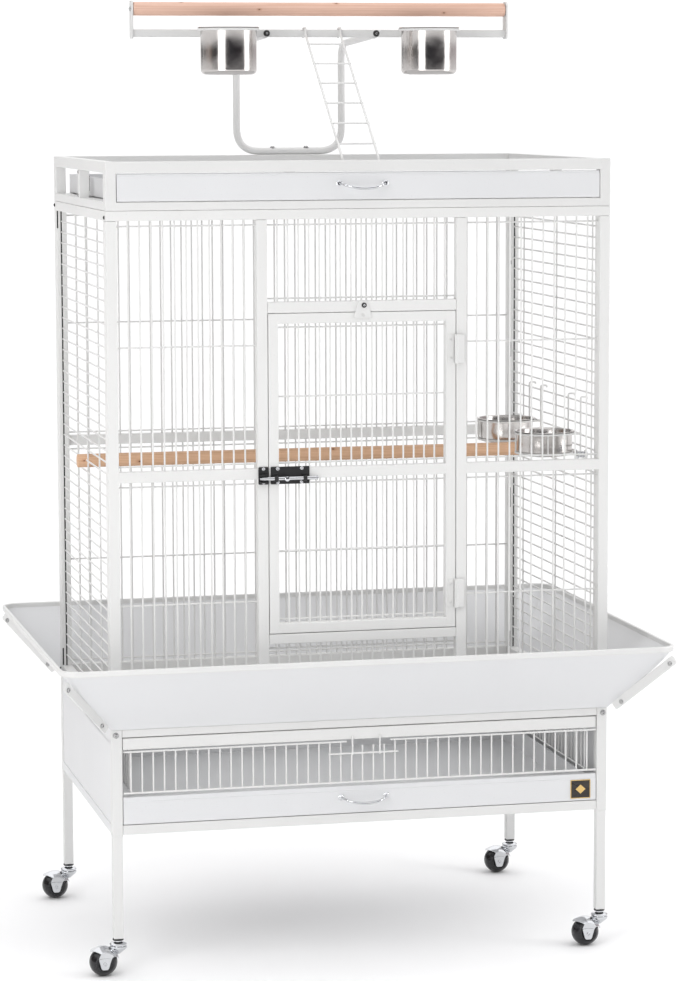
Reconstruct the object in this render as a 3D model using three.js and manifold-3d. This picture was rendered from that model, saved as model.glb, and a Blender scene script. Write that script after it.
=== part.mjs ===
// Play-top bird cage on a wheeled stand. Millimetres, +Z up, +X to the right seen from the front,
// and the front faces -Y. The origin is on the floor under the middle of the cage.
import * as THREE from "three";
import { mergeGeometries, mergeVertices } from "three/addons/utils/BufferGeometryUtils.js";
import Module from "manifold-3d";

const wasm = await Module();
wasm.setup();

// ---- driving dimensions ----
const WIDTH = 914; // outside of the corner tubes, left to right
const DEPTH = 610; // outside of the corner tubes, front to back
const TUBE = 19; // side of the square frame tubes
const LEG_WALL = 1.4;
const SHEET = 1.2;
const FIT = 0.4; // gap between pieces that seat on each other
const SLIDE = 1.2; // gap beside a piece that moves
const STAND_TOP_Z = 443; // stand ends and cage starts
const STAND_RAIL_Z = 254; // underside of the stand's lower rails
const STAND_RAIL_HEIGHT = 17;
const STAND_TOP_RAIL_HEIGHT = 14;
const CAGE_HEIGHT = 911.5; // from the stand to the top of the cage's top rail
const CAGE_RAIL_HEIGHT = 17.5;
const BOX_HEIGHT = 85; // play-top box above the cage
const BOX_LOWER_RAIL = 14.5;
const BOX_UPPER_RAIL = 19.5;
const WIRE = 3.2; // side of the bars that stand for the cage wires
const WIRE_PITCH = 20.2;
const DOOR_WIRE_PITCH = 19.4;
const MID_RAIL_Z = 880; // underside of the rails at half height
const DOOR_WIDTH = 341;
const DOOR_HEIGHT = 568.6;
const DOOR_Z = 603.4; // underside of the door
const DOOR_STILE = 18;
const APRON_REACH = 102; // how far the seed guard flares out
const APRON_HEIGHT = 124; // seed guard from the stand top to its lip
const APRON_LIP = 11;
const APRON_LIP_THICK = 5;
const DRAWER_WALL = 1.5;
const DRAWER_FACE = 12; // thickness of a drawer's front
const LOWER_DRAWER_FACE_HEIGHT = 49;
const LOWER_DRAWER_WALL_HEIGHT = 40;
const UPPER_DRAWER_WALL_HEIGHT = 34;
const DRAWER_SIDE_ROOM = 7; // from a drawer's face end in to its pan
const LEDGE = 14; // width of the ledges that the drawers run on
const LEDGE_THICK = 3;
const GRATE_BAR_HEIGHT = 21;
const FENCE_DROP = 79; // from the grate bar's underside down to the fence's lower wire
const HANDLE_SPAN = 84;
const HANDLE_REACH = 23;
const HANDLE_SAG = 9;
const HANDLE_RADIUS = 3.2;
const BAR_SIZE = 14; // square bar of the play stand
const BAR_LENGTH = 702;
const BAR_Y = 18;
const BAR_Z = 1666;
const END_PLATE = 4;
const END_PLATE_WIDTH = 24;
const END_PLATE_RISE = 59; // above the bar's middle
const END_PLATE_DROP = 3; // below the bar
const PERCH_RADIUS = 12.3;
const TOP_PERCH_RISE = 44; // perch axis above the bar's axis
const HOOP_RADIUS = 6.8;
const HOOP_SPAN = 207; // between the axes of the hoop's legs
const HOOP_BEND = 42;
const HOOP_SHOULDER_BEND = 34;
const HOOP_ARM_DROP = 14; // the arm meets the leg this much below the bar's axis
const LADDER_SPAN = 66; // between the axes of the ladder's rails
const LADDER_X = 2;
const LADDER_WIRE = 4.4;
const RUNG_COUNT = 6;
const RUNG_PITCH = 59;
const FIRST_RUNG = 30; // from the ladder's top to its first rung
const LADDER_FOOT = 9;
const CUP_RADIUS = 51;
const CUP_RIM = 5.5; // width of the cup's turned-out rim
const CUP_WALL = 1.2;
const TOP_CUP_X = 187.5;
const TOP_CUP_GAP = 12; // from a top cup's wall back to the bar
const TOP_CUP_Z = 1676; // rim
const TOP_CUP_DEPTH = 86;
const INNER_CUP_Z = 939;
const INNER_CUP_DEPTH = 46;
const INNER_CUP_YS = { rear: 89, front: -164 };
const RING_THICK = 3.4;
const RING_HEIGHT = 5;
const INNER_PERCH_Y = 14;
const INNER_PERCH_Z = 887;
const PERCH_OVERHANG = 6; // the inner perch's ends past the outside of the side walls
const HINGE_RADIUS = 4.2;
const HINGE_STANDOFF = 5; // hinge axis in front of the frame's face
const HINGE_LENGTH = 52;
const HINGE_ZS = { upper: 1104, lower: 665 };
const LEAF_THICK = 2;
const LEAF_WIDTH = 14;
const LATCH_INSET = 37.5; // from the door's edge to the middle of the latch's base
const LATCH_LENGTH = 70;
const LATCH_HEIGHT = 31;
const LATCH_DROP = 8; // bolt axis below the middle of the door's middle rail
const LATCH_RISE = 5; // middle of the latch's plates above the bolt axis
const BOLT_RADIUS = 3.4;
const BOLT_STANDOFF = 7; // bolt axis in front of the frame's face
const BOLT_LENGTH = 106;
const BOLT_REACH = 18; // how far the bolt's end stands past the door's edge
const TAB_WIDTH = 34;
const TAB_HEIGHT = 32;
const TAB_OVERLAP = 11; // tab below the door's top edge
const BALL_RADIUS = 25;
const BALL_HALF_WIDTH = 19.5;
const BALL_TRAIL = 27; // from the swivel axis to the wheel's axle
const CASTER_RISE = 41; // from the ball's middle up to the leg's foot
const HOOD_GAP = 1.6;
const HOOD_WALL = 2.4;
const AXLE_RADIUS = 3;
const AXLE_GAP = 0.4;
const STEM_RADIUS = 5;
const STEM_IN_LEG = 24; // how far the stem stands up inside the leg
const SWIVEL_PLATE = { radius: 15.5, rise: 20, thick: 6 }; // the rise is above the ball's middle
const SWIVEL_NECK = { radius: 12, lap: 1, gap: 9 }; // the gap is below the leg's foot
const HOOD_EDGE = 5; // the hood's lower edge above the axle
const CHEEK = { half: 8, gap: 1, thick: 2, drop: 7, rise: 17 }; // the hood's side plates
const BALL_STATIONS = [-15, -7, 0, 7, 15]; // along the axle, where the ball's outline bends
const EMBED = 5; // how deep the wires run into the tubes that hold them
const WELD = 1; // overlap of pieces that are welded into one
const SIDE_STILE = 10; // uprights of the side walls, beside the posts
const TOP_WIRE_DROP = 12; // cross wire under the cage's top rail
const ROOF_EDGE = 6;
const ROOF_RISE = 6; // roof grille above the top rail's underside
const GRATE_BAR_DEPTH = 15;
const GRATE_DROP = 2; // gap over the grate's bar
const GRATE_EDGE = 6;
const FENCE_SETBACK = 3;
const FENCE_EMBED = 4;
const WINDOW_EDGE = 6;
const HANDLE_HEIGHT = 0.6; // height of a handle on its drawer's face, as a share
const ROSETTE = { margin: 2.4, thick: 1.6, foot: 2 };
const LATCH_EYE = { margin: 3, length: 10, inset: 4, gap: 0.6 };
const KNOB = { offset: 8, reach: 11, head: 4, radius: 4.6 }; // from the base's middle, and out of the bolt
const KEEPER = { gap: 1.4, wall: 4 };
const TAB_CORNER = { inset: 3, rise: 5, round: 8 };
const TAB_PIN = { radius: 3.6, out: 2.6, rise: 6 };
const TAB_STUD = { radius: 3, out: 4 };
const LADDER_FOOT_RISE = 3; // the ladder's bend above the play-top box
const LADDER_START = 2; // where its slope starts, below the bar's axis
const LADDER_BEND = 1.5;
const RUNG_MARGIN = 0.4;
const PERCH_SLOT = { gap: 0.8, half: 40 };
const CUP_BEND = { out: 11, in: 3 }; // the bottom's rounded edge
const RING_GAP = 0.8;
const CUP_BRACKET = { half: 12, height: 16, lap: 2 };
const HANGER = { thick: 1.6, drop: 40, rise: 66 };

// ---- sizes worked out from them ----
const halfW = WIDTH / 2;
const halfD = DEPTH / 2;
const front = -halfD;
const legFootZ = BALL_RADIUS + CASTER_RISE; // lower end of the leg tubes
const inX = halfW - TUBE; // inner face of the side walls
const inY = halfD - TUBE; // inner face of the front and back walls
const cageZ = STAND_TOP_Z + FIT;
const cageTopZ = STAND_TOP_Z + CAGE_HEIGHT;
const cageRailZ = cageTopZ - CAGE_RAIL_HEIGHT;
const boxZ = cageTopZ + FIT;
const boxTopZ = cageTopZ + BOX_HEIGHT;
const doorTopZ = DOOR_Z + DOOR_HEIGHT;
const jambX = DOOR_WIDTH / 2 + SLIDE; // door opening's edge
const wireY = halfD - TUBE / 2; // plane of the front and back wires
const grateZ = STAND_TOP_Z - STAND_TOP_RAIL_HEIGHT - GRATE_DROP - GRATE_BAR_HEIGHT;
const hingeX = DOOR_WIDTH / 2 + SLIDE / 2;
const hingeY = front - HINGE_STANDOFF;
const boltY = front - BOLT_STANDOFF;
const boltZ = MID_RAIL_Z + TUBE / 2 - LATCH_DROP;
const latchZ = boltZ + LATCH_RISE;
const barFront = BAR_Y - BAR_SIZE / 2;
const barBack = BAR_Y + BAR_SIZE / 2;
const topCupY = barFront - TOP_CUP_GAP - CUP_RADIUS;
const latchX = LATCH_INSET - DOOR_WIDTH / 2;

// ---- materials ----
const powderCoat = () => new THREE.MeshStandardMaterial({ color: 0xeceded, roughness: 0.45 });
const pine = () => new THREE.MeshStandardMaterial({ color: 0xd8b294, roughness: 0.7 });
const stainless = () =>
  new THREE.MeshStandardMaterial({ color: 0xb9b6b2, roughness: 0.22, metalness: 1 });
const chrome = () => new THREE.MeshStandardMaterial({ color: 0xd2d4d6, roughness: 0.12, metalness: 1 });
const blackSteel = () => new THREE.MeshStandardMaterial({ color: 0x1d1d1f, roughness: 0.4, metalness: 0.6 });
const blackPlastic = () => new THREE.MeshStandardMaterial({ color: 0x121214, roughness: 0.25 });

// ---- solids ----
function toSolid(geometry) {
  const bare = (geometry.index ? geometry.toNonIndexed() : geometry.clone());
  bare.deleteAttribute("normal");
  bare.deleteAttribute("uv");
  const merged = mergeVertices(bare, 1e-4);
  const faces = [];
  const index = merged.index.array;
  for (let i = 0; i < index.length; i += 3) {
    const [a, b, c] = [index[i], index[i + 1], index[i + 2]];
    if (a !== b && b !== c && c !== a) faces.push(a, b, c);
  }
  return new wasm.Manifold(
    new wasm.Mesh({
      numProp: 3,
      vertProperties: merged.attributes.position.array,
      triVerts: new Uint32Array(faces),
    }),
  );
}

function toGeometry(solid) {
  const mesh = solid.getMesh();
  const geometry = new THREE.BufferGeometry();
  geometry.setAttribute("position", new THREE.BufferAttribute(mesh.vertProperties, 3));
  geometry.setIndex(new THREE.BufferAttribute(mesh.triVerts, 1));
  return geometry;
}

const join = (...pieces) => toGeometry(pieces.map(toSolid).reduce((a, b) => a.add(b)));
const cut = (piece, ...tools) => toGeometry(tools.map(toSolid).reduce((a, b) => a.subtract(b), toSolid(piece)));
const overlap = (a, b) => toGeometry(toSolid(a).intersect(toSolid(b)));

function box(x0, x1, y0, y1, z0, z1) {
  const geometry = new THREE.BoxGeometry(Math.abs(x1 - x0), Math.abs(y1 - y0), Math.abs(z1 - z0));
  return geometry.translate((x0 + x1) / 2, (y0 + y1) / 2, (z0 + z1) / 2);
}

// A cylinder along X, Y or Z from one end to the other, centred on the other two coordinates.
function rod(axis, from, to, a, b, radius, sides = 12) {
  const geometry = new THREE.CylinderGeometry(radius, radius, Math.abs(to - from), sides);
  const middle = (from + to) / 2;
  if (axis === "x") return geometry.rotateZ(Math.PI / 2).translate(middle, a, b);
  if (axis === "y") return geometry.translate(a, middle, b);
  return geometry.rotateX(Math.PI / 2).translate(a, b, middle);
}

// A profile of [radius, height] points turned round the Z axis.
function turned(points, sides) {
  const profile = points.map(([r, z]) => new THREE.Vector2(r, z));
  return new THREE.LatheGeometry(profile, sides).rotateX(Math.PI / 2);
}

function outline(points) {
  return new THREE.Shape(points.map(([x, y]) => new THREE.Vector2(x, y)));
}

// Places what is drawn in the shape's plane: u and v are its axes, and it is thickened from `at` along u x v.
function inPlane(geometry, u, v, at) {
  const across = new THREE.Vector3().crossVectors(u, v);
  return geometry.applyMatrix4(new THREE.Matrix4().makeBasis(u, v, across)).translate(...at);
}

const X = new THREE.Vector3(1, 0, 0);
const Y = new THREE.Vector3(0, 1, 0);
const Z = new THREE.Vector3(0, 0, 1);
const extrude = (shape, depth) => new THREE.ExtrudeGeometry(shape, { depth, bevelEnabled: false });

// A band of even width along a bent line, drawn in the line's plane.
function band(points, width) {
  const line = points.map(([a, b]) => new THREE.Vector2(a, b));
  const side = (sign) =>
    line.map((p, i) => {
      const before = line[i].clone().sub(line[Math.max(i - 1, 0)]);
      const after = line[Math.min(i + 1, line.length - 1)].clone().sub(line[i]);
      const u = (before.lengthSq() ? before : after).clone().normalize();
      const w = (after.lengthSq() ? after : before).clone().normalize();
      const mean = u.clone().add(w).normalize();
      const reach = width / 2 / Math.max(mean.dot(u), 0.3);
      return new THREE.Vector2(p.x - sign * mean.y * reach, p.y + sign * mean.x * reach);
    });
  return new THREE.Shape([...side(-1), ...side(1).reverse()]);
}

// Clear gaps between evenly spaced wires from one edge to the other.
function gaps(from, to, pitch) {
  const count = Math.max(1, Math.round((to - from) / pitch));
  const step = (to - from) / count;
  return Array.from({ length: count }, (_, i) => [
    from + i * step + (i > 0 ? WIRE / 2 : 0),
    from + (i + 1) * step - (i < count - 1 ? WIRE / 2 : 0),
  ]);
}

// A flat wire panel: a plate with one opening for each pair of gaps.
function wirePanel([u0, u1], [v0, v1], uGaps, vGaps) {
  const openings = uGaps.flatMap(([a, b]) => vGaps.map(([c, d]) => box(a, b, c, d, -WELD, WIRE + WELD)));
  return cut(box(u0, u1, v0, v1, 0, WIRE), mergeGeometries(openings));
}

const uprightPanel = (us, vs, uGaps, vGaps, y) =>
  inPlane(wirePanel(us, vs, uGaps, vGaps), X, Z, [0, y + WIRE / 2, 0]);
const sidePanel = (us, vs, uGaps, vGaps, x) =>
  inPlane(wirePanel(us, vs, uGaps, vGaps), Y, Z, [x - WIRE / 2, 0, 0]);
const levelPanel = (us, vs, uGaps, vGaps, z) => inPlane(wirePanel(us, vs, uGaps, vGaps), X, Y, [0, 0, z]);

const cage = new THREE.Group();
const SIDES = { left: -1, right: 1 };
const ENDS = { front: -1, back: 1 };

function add(name, geometry, material) {
  const mesh = new THREE.Mesh(geometry, material);
  mesh.name = name;
  cage.add(mesh);
}

// ---- stand ----
function leg(sx, sy) {
  const x = sx * (halfW - TUBE / 2);
  const y = sy * (halfD - TUBE / 2);
  const bore = TUBE / 2 - LEG_WALL;
  const half = TUBE / 2;
  return cut(
    box(x - half, x + half, y - half, y + half, legFootZ, STAND_TOP_Z),
    box(x - bore, x + bore, y - bore, y + bore, legFootZ - WELD, STAND_TOP_Z + WELD),
  );
}

function standSide(sx) {
  const railTop = STAND_RAIL_Z + STAND_RAIL_HEIGHT;
  const skin = halfW - SHEET;
  const ledgeZ = grateZ + GRATE_BAR_HEIGHT / 2 - LEDGE_THICK;
  const points = [
    [halfW, STAND_RAIL_Z],
    [inX, STAND_RAIL_Z],
    [inX, railTop - LEDGE_THICK],
    [inX - LEDGE, railTop - LEDGE_THICK],
    [inX - LEDGE, railTop],
    [skin, railTop],
    [skin, ledgeZ],
    [inX - LEDGE, ledgeZ],
    [inX - LEDGE, ledgeZ + LEDGE_THICK],
    [skin, ledgeZ + LEDGE_THICK],
    [skin, STAND_TOP_Z],
    [halfW, STAND_TOP_Z],
  ].map(([x, z]) => [sx * x, z]);
  const length = DEPTH - 2 * TUBE - 2 * FIT;
  return inPlane(extrude(outline(points), length), X, Z, [0, length / 2, 0]);
}

const frontRail = (z, height) => box(-inX + FIT, inX - FIT, front, -inY, z, z + height);

function standBack() {
  const x = inX - FIT;
  const sheetY = halfD - TUBE / 2;
  return join(
    box(-x, x, inY, halfD, STAND_RAIL_Z, STAND_RAIL_Z + STAND_RAIL_HEIGHT),
    box(-x, x, inY, halfD, STAND_TOP_Z - STAND_TOP_RAIL_HEIGHT, STAND_TOP_Z),
    box(-x, x, sheetY, sheetY + SHEET, STAND_RAIL_Z + WELD, STAND_TOP_Z - WELD),
  );
}

for (const [endName, sy] of Object.entries(ENDS)) {
  for (const [sideName, sx] of Object.entries(SIDES)) {
    add(`leg_${endName}_${sideName}`, leg(sx, sy), powderCoat());
  }
}
for (const [name, sx] of Object.entries(SIDES)) add(`stand_side_${name}`, standSide(sx), powderCoat());
add("stand_back_panel", standBack(), powderCoat());
add("stand_lower_rail", frontRail(STAND_RAIL_Z, STAND_RAIL_HEIGHT), powderCoat());
add("stand_upper_rail", frontRail(STAND_TOP_Z - STAND_TOP_RAIL_HEIGHT, STAND_TOP_RAIL_HEIGHT), powderCoat());

// ---- seed guard: four flared aprons, mitred at the corners ----
// The section runs out and up and ends in a lip, and its two ends are sheared to lie in the mitres.
function apron(along, outward, halfAlong, halfOut) {
  const rise = APRON_HEIGHT - APRON_LIP;
  const section = [
    [FIT, 0],
    [APRON_REACH - APRON_LIP_THICK + SHEET, rise],
    [APRON_REACH, rise],
    [APRON_REACH, APRON_HEIGHT],
    [APRON_REACH - APRON_LIP_THICK, APRON_HEIGHT],
    [APRON_REACH - APRON_LIP_THICK, rise + SHEET],
    [FIT, 2 * SHEET],
  ];
  const geometry = extrude(outline(section), 1);
  const position = geometry.attributes.position;
  const point = new THREE.Vector3();
  for (let i = 0; i < position.count; i += 1) {
    const [out, up, end] = [position.getX(i), position.getY(i), position.getZ(i) > 0.5 ? 1 : -1];
    point.copy(along).multiplyScalar(end * (halfAlong + out - FIT));
    point.addScaledVector(outward, halfOut + out);
    position.setXYZ(i, point.x, point.y, cageZ + up);
  }
  return geometry;
}

for (const [name, s] of Object.entries(ENDS)) {
  add(`apron_${name}`, apron(X.clone().multiplyScalar(s), Y.clone().multiplyScalar(s), halfW, halfD), powderCoat());
}
for (const [name, s] of Object.entries(SIDES)) {
  add(`apron_${name}`, apron(Y.clone().multiplyScalar(-s), X.clone().multiplyScalar(s), halfD, halfW), powderCoat());
}

// ---- drawers ----
const drawerX = inX - SLIDE;
const drawerBack = inY - SLIDE;
const drawerFace = (z, height) => box(-drawerX, drawerX, front, front + DRAWER_FACE, z, z + height);

function drawerPan(z, wallHeight, start, innerStart) {
  const panX = drawerX - DRAWER_SIDE_ROOM;
  const inner = panX - DRAWER_WALL;
  return cut(
    box(-panX, panX, start, drawerBack, z, z + wallHeight),
    box(-inner, inner, innerStart, drawerBack - DRAWER_WALL, z + DRAWER_WALL, z + wallHeight + WELD),
  );
}

function handle(z) {
  const half = HANDLE_SPAN / 2;
  const foot = front - FIT - ROSETTE.foot;
  const path = new THREE.CatmullRomCurve3([
    new THREE.Vector3(-half, foot, z),
    new THREE.Vector3(-half * 0.86, front - HANDLE_REACH * 0.7, z - HANDLE_SAG * 0.3),
    new THREE.Vector3(0, front - HANDLE_REACH, z - HANDLE_SAG),
    new THREE.Vector3(half * 0.86, front - HANDLE_REACH * 0.7, z - HANDLE_SAG * 0.3),
    new THREE.Vector3(half, foot, z),
  ]);
  const section = new THREE.Shape().absarc(0, 0, HANDLE_RADIUS, 0, 2 * Math.PI, false);
  const bow = new THREE.ExtrudeGeometry(section, { steps: 12, extrudePath: path, curveSegments: 4 });
  const rosettes = [-half, half].map((x) => 
    rod("y", front - FIT, foot - ROSETTE.thick, x, z, HANDLE_RADIUS + ROSETTE.margin, 10),
  );
  return join(bow, ...rosettes);
}

const lowerDrawerZ = STAND_RAIL_Z + STAND_RAIL_HEIGHT + SLIDE;
const upperDrawerZ = boxZ + BOX_LOWER_RAIL + SLIDE;
const upperFaceHeight = BOX_HEIGHT - BOX_LOWER_RAIL - BOX_UPPER_RAIL - 3 * SLIDE;
const behindFace = front + DRAWER_FACE;
add("lower_drawer", drawerFace(lowerDrawerZ, LOWER_DRAWER_FACE_HEIGHT), powderCoat());
add(
  "lower_drawer_pan",
  drawerPan(lowerDrawerZ, LOWER_DRAWER_WALL_HEIGHT, behindFace + FIT, behindFace + FIT + DRAWER_WALL),
  powderCoat(),
);
add(
  "upper_drawer",
  join(
    drawerFace(upperDrawerZ, upperFaceHeight),
    drawerPan(upperDrawerZ, UPPER_DRAWER_WALL_HEIGHT, front + WELD, behindFace),
  ),
  powderCoat(),
);
add("lower_drawer_handle", handle(lowerDrawerZ + LOWER_DRAWER_FACE_HEIGHT * HANDLE_HEIGHT), chrome());
add("upper_drawer_handle", handle(upperDrawerZ + upperFaceHeight * HANDLE_HEIGHT), chrome());

// ---- pull-out floor grate with its hanging fence ----
function grateBar() {
  const x = inX - SLIDE;
  const low = grateZ - FENCE_DROP;
  const fence = uprightPanel(
    [-x, x],
    [low, grateZ + FENCE_EMBED],
    gaps(-x + WIRE, x - WIRE, WIRE_PITCH),
    [[low + WIRE, grateZ - FENCE_SETBACK]],
    front + FENCE_SETBACK,
  );
  return join(box(-x, x, front + WELD, front + GRATE_BAR_DEPTH, grateZ, grateZ + GRATE_BAR_HEIGHT), fence);
}

function grate() {
  const x = inX - SLIDE;
  const z = grateZ + GRATE_BAR_HEIGHT / 2 + SLIDE;
  const [y0, y1] = [front + GRATE_BAR_DEPTH + FIT, inY - SLIDE];
  const runs = [[y0 + GRATE_EDGE, y1 - GRATE_EDGE]];
  return levelPanel([-x, x], [y0, y1], gaps(-x + WIRE, x - WIRE, WIRE_PITCH), runs, z);
}

add("grate_bar", grateBar(), powderCoat());
add("floor_grate", grate(), powderCoat());

// ---- cage walls ----
const bottomRail = (u0, u1, y0, y1) => box(u0, u1, y0, y1, cageZ, cageZ + CAGE_RAIL_HEIGHT);
const lowGap = [cageZ + CAGE_RAIL_HEIGHT, MID_RAIL_Z];
const topWireZ = cageRailZ - TOP_WIRE_DROP;
const highGap = [MID_RAIL_Z + TUBE, topWireZ];

function frontSection(sx) {
  const postIn = inX;
  const jamb = jambX + TUBE;
  const wires = uprightPanel(
    [jamb - EMBED, postIn + EMBED],
    [cageZ + EMBED, topWireZ + WIRE],
    gaps(jamb, postIn, WIRE_PITCH),
    [lowGap, highGap],
    -wireY,
  );
  const top = cageRailZ - FIT;
  const section = join(
    box(postIn, halfW, front, -inY, cageZ, top),
    box(jambX, jamb, front, -inY, cageZ, top),
    box(jamb - WELD, postIn + WELD, front, -inY, MID_RAIL_Z, MID_RAIL_Z + TUBE),
    bottomRail(jamb - WELD, postIn + WELD, front, -inY),
    wires,
  );
  return sx > 0 ? section : toGeometry(toSolid(section).mirror([1, 0, 0]));
}

// The top rail with the panel that hangs from it between the jambs, over the door.
function topRail() {
  const x = jambX - FIT;
  const sill = doorTopZ + SLIDE;
  const gapsHere = gaps(-x + WIRE, x - WIRE, DOOR_WIRE_PITCH);
  const runs = [[sill + TUBE, topWireZ], [topWireZ + WIRE, cageRailZ]];
  return join(
    box(-halfW, halfW, front, -inY, cageRailZ, cageTopZ),
    box(-x, x, front, -inY, sill, sill + TUBE),
    uprightPanel([-x, x], [sill + EMBED, cageRailZ + EMBED], gapsHere, runs, -wireY),
  );
}

function underDoor() {
  const x = jambX - FIT;
  const top = DOOR_Z - SLIDE;
  const gapsHere = gaps(-x + WIRE, x - WIRE, DOOR_WIRE_PITCH);
  return join(
    box(-x, x, front, -inY, top - CAGE_RAIL_HEIGHT, top),
    bottomRail(-x, x, front, -inY),
    uprightPanel([-x, x], [cageZ + EMBED, top - EMBED], gapsHere, [[lowGap[0], top - CAGE_RAIL_HEIGHT]], -wireY),
  );
}

const sideWireGaps = gaps(cageZ + CAGE_RAIL_HEIGHT, cageRailZ, WIRE_PITCH);
const sideWireX = halfW - TUBE / 2;

function sideWall(sx) {
  const y = inY - FIT;
  const [x0, x1] = [inX, halfW];
  const stile = SIDE_STILE;
  const lap = FENCE_EMBED;
  const wall = join(
    box(x0, x1, -y, y, cageZ, cageZ + CAGE_RAIL_HEIGHT),
    box(x0, x1, -y, y, cageRailZ, cageTopZ),
    box(x0, x1, -y, -y + stile, cageZ, cageTopZ),
    box(x0, x1, y - stile, y, cageZ, cageTopZ),
    sidePanel([-y + lap, y - lap], [cageZ + lap, cageTopZ - lap], [[-y + stile, y - stile]], sideWireGaps, sideWireX),
  );
  return sx > 0 ? wall : toGeometry(toSolid(wall).mirror([1, 0, 0]));
}

function backWall() {
  const wires = uprightPanel(
    [-inX - EMBED, inX + EMBED],
    [cageZ + EMBED, cageTopZ - EMBED],
    gaps(-inX, inX, WIRE_PITCH),
    [lowGap, [highGap[0], cageRailZ]],
    wireY,
  );
  return join(
    box(-halfW, -inX, inY, halfD, cageZ, cageTopZ),
    box(inX, halfW, inY, halfD, cageZ, cageTopZ),
    box(-inX - WELD, inX + WELD, inY, halfD, MID_RAIL_Z, MID_RAIL_Z + TUBE),
    box(-inX - WELD, inX + WELD, inY, halfD, cageRailZ, cageTopZ),
    bottomRail(-inX - WELD, inX + WELD, inY, halfD),
    wires,
  );
}

function roof() {
  const x = inX - FIT;
  const y = inY - FIT;
  const runs = [[-y + ROOF_EDGE, y - ROOF_EDGE]];
  return levelPanel([-x, x], [-y, y], gaps(-x + ROOF_EDGE, x - ROOF_EDGE, 2 * WIRE_PITCH), runs, cageRailZ + ROOF_RISE);
}

for (const [name, sx] of Object.entries(SIDES)) {
  add(`front_section_${name}`, frontSection(sx), powderCoat());
  add(`side_wall_${name}`, sideWall(sx), powderCoat());
}
add("panel_under_door", underDoor(), powderCoat());
add("front_top_rail", topRail(), powderCoat());
add("back_wall", backWall(), powderCoat());
add("roof_grille", roof(), powderCoat());

// ---- door with its hinges, latch and turn tab ----
function door() {
  const x = DOOR_WIDTH / 2;
  const clear = x - DOOR_STILE;
  const frame = cut(
    box(-x, x, front, -inY, DOOR_Z, doorTopZ),
    box(-clear, clear, front - WELD, -inY + WELD, DOOR_Z + DOOR_STILE, MID_RAIL_Z),
    box(-clear, clear, front - WELD, -inY + WELD, MID_RAIL_Z + TUBE, doorTopZ - DOOR_STILE),
  );
  const wires = uprightPanel(
    [-x + EMBED, x - EMBED],
    [DOOR_Z + EMBED, doorTopZ - EMBED],
    gaps(-clear, clear, DOOR_WIRE_PITCH),
    [[DOOR_Z + DOOR_STILE, MID_RAIL_Z], [MID_RAIL_Z + TUBE, doorTopZ - DOOR_STILE]],
    -wireY,
  );
  const leaves = Object.values(HINGE_ZS).map((z) =>
    box(x - LEAF_WIDTH, x - LEAF_THICK * 2, front - LEAF_THICK, front + WELD, z - HINGE_LENGTH / 2, z + HINGE_LENGTH / 2),
  );
  return join(frame, wires, ...leaves);
}

function hinge(z) {
  const [z0, z1] = [z - HINGE_LENGTH / 2, z + HINGE_LENGTH / 2];
  const leaf = box(hingeX, hingeX + LEAF_WIDTH, front - FIT - LEAF_THICK, front - FIT, z0, z1);
  return join(rod("z", z0, z1, hingeX, hingeY, HINGE_RADIUS, 12), leaf);
}

function latchBase() {
  const [x0, x1] = [latchX - LATCH_LENGTH / 2, latchX + LATCH_LENGTH / 2];
  const [z0, z1] = [latchZ - LATCH_HEIGHT / 2, latchZ + LATCH_HEIGHT / 2];
  const plate = box(x0, x1, front - FIT - LEAF_THICK, front - FIT, z0, z1);
  const eye = BOLT_RADIUS + LATCH_EYE.margin;
  const starts = [x0 + LATCH_EYE.inset, x1 - LATCH_EYE.inset - LATCH_EYE.length];
  const guides = starts.map((x) =>
    box(x, x + LATCH_EYE.length, boltY - eye, front - FIT - WELD, boltZ - eye, boltZ + eye),
  );
  return cut(join(plate, ...guides), rod("x", x0 - WELD, x1 + WELD, boltY, boltZ, BOLT_RADIUS + LATCH_EYE.gap, 12));
}

const boltTip = -DOOR_WIDTH / 2 - BOLT_REACH;

function latchBolt() {
  const knobX = latchX - KNOB.offset;
  const end = boltY - KNOB.reach;
  return join(
    rod("x", boltTip, boltTip + BOLT_LENGTH, boltY, boltZ, BOLT_RADIUS, 10),
    rod("y", end, boltY, knobX, boltZ, BOLT_RADIUS - FIT, 10),
    rod("y", end, end + KNOB.head, knobX, boltZ, KNOB.radius, 10),
  );
}

// The keeper is a channel that is open to the front, so the bolt can leave it as the door swings.
function latchKeeper() {
  const x1 = -jambX - FIT;
  const x0 = x1 - TUBE + WELD;
  const channel = BOLT_RADIUS + KEEPER.gap;
  const back = front - FIT;
  return join(
    box(x0, x1, back - LEAF_THICK, back, latchZ - LATCH_HEIGHT / 2, latchZ + LATCH_HEIGHT / 2),
    box(x0, x1, boltY - BOLT_RADIUS, back - WELD, boltZ + channel, boltZ + channel + KEEPER.wall),
    box(x0, x1, boltY - BOLT_RADIUS, back - WELD, boltZ - channel - KEEPER.wall, boltZ - channel),
  );
}

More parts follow.
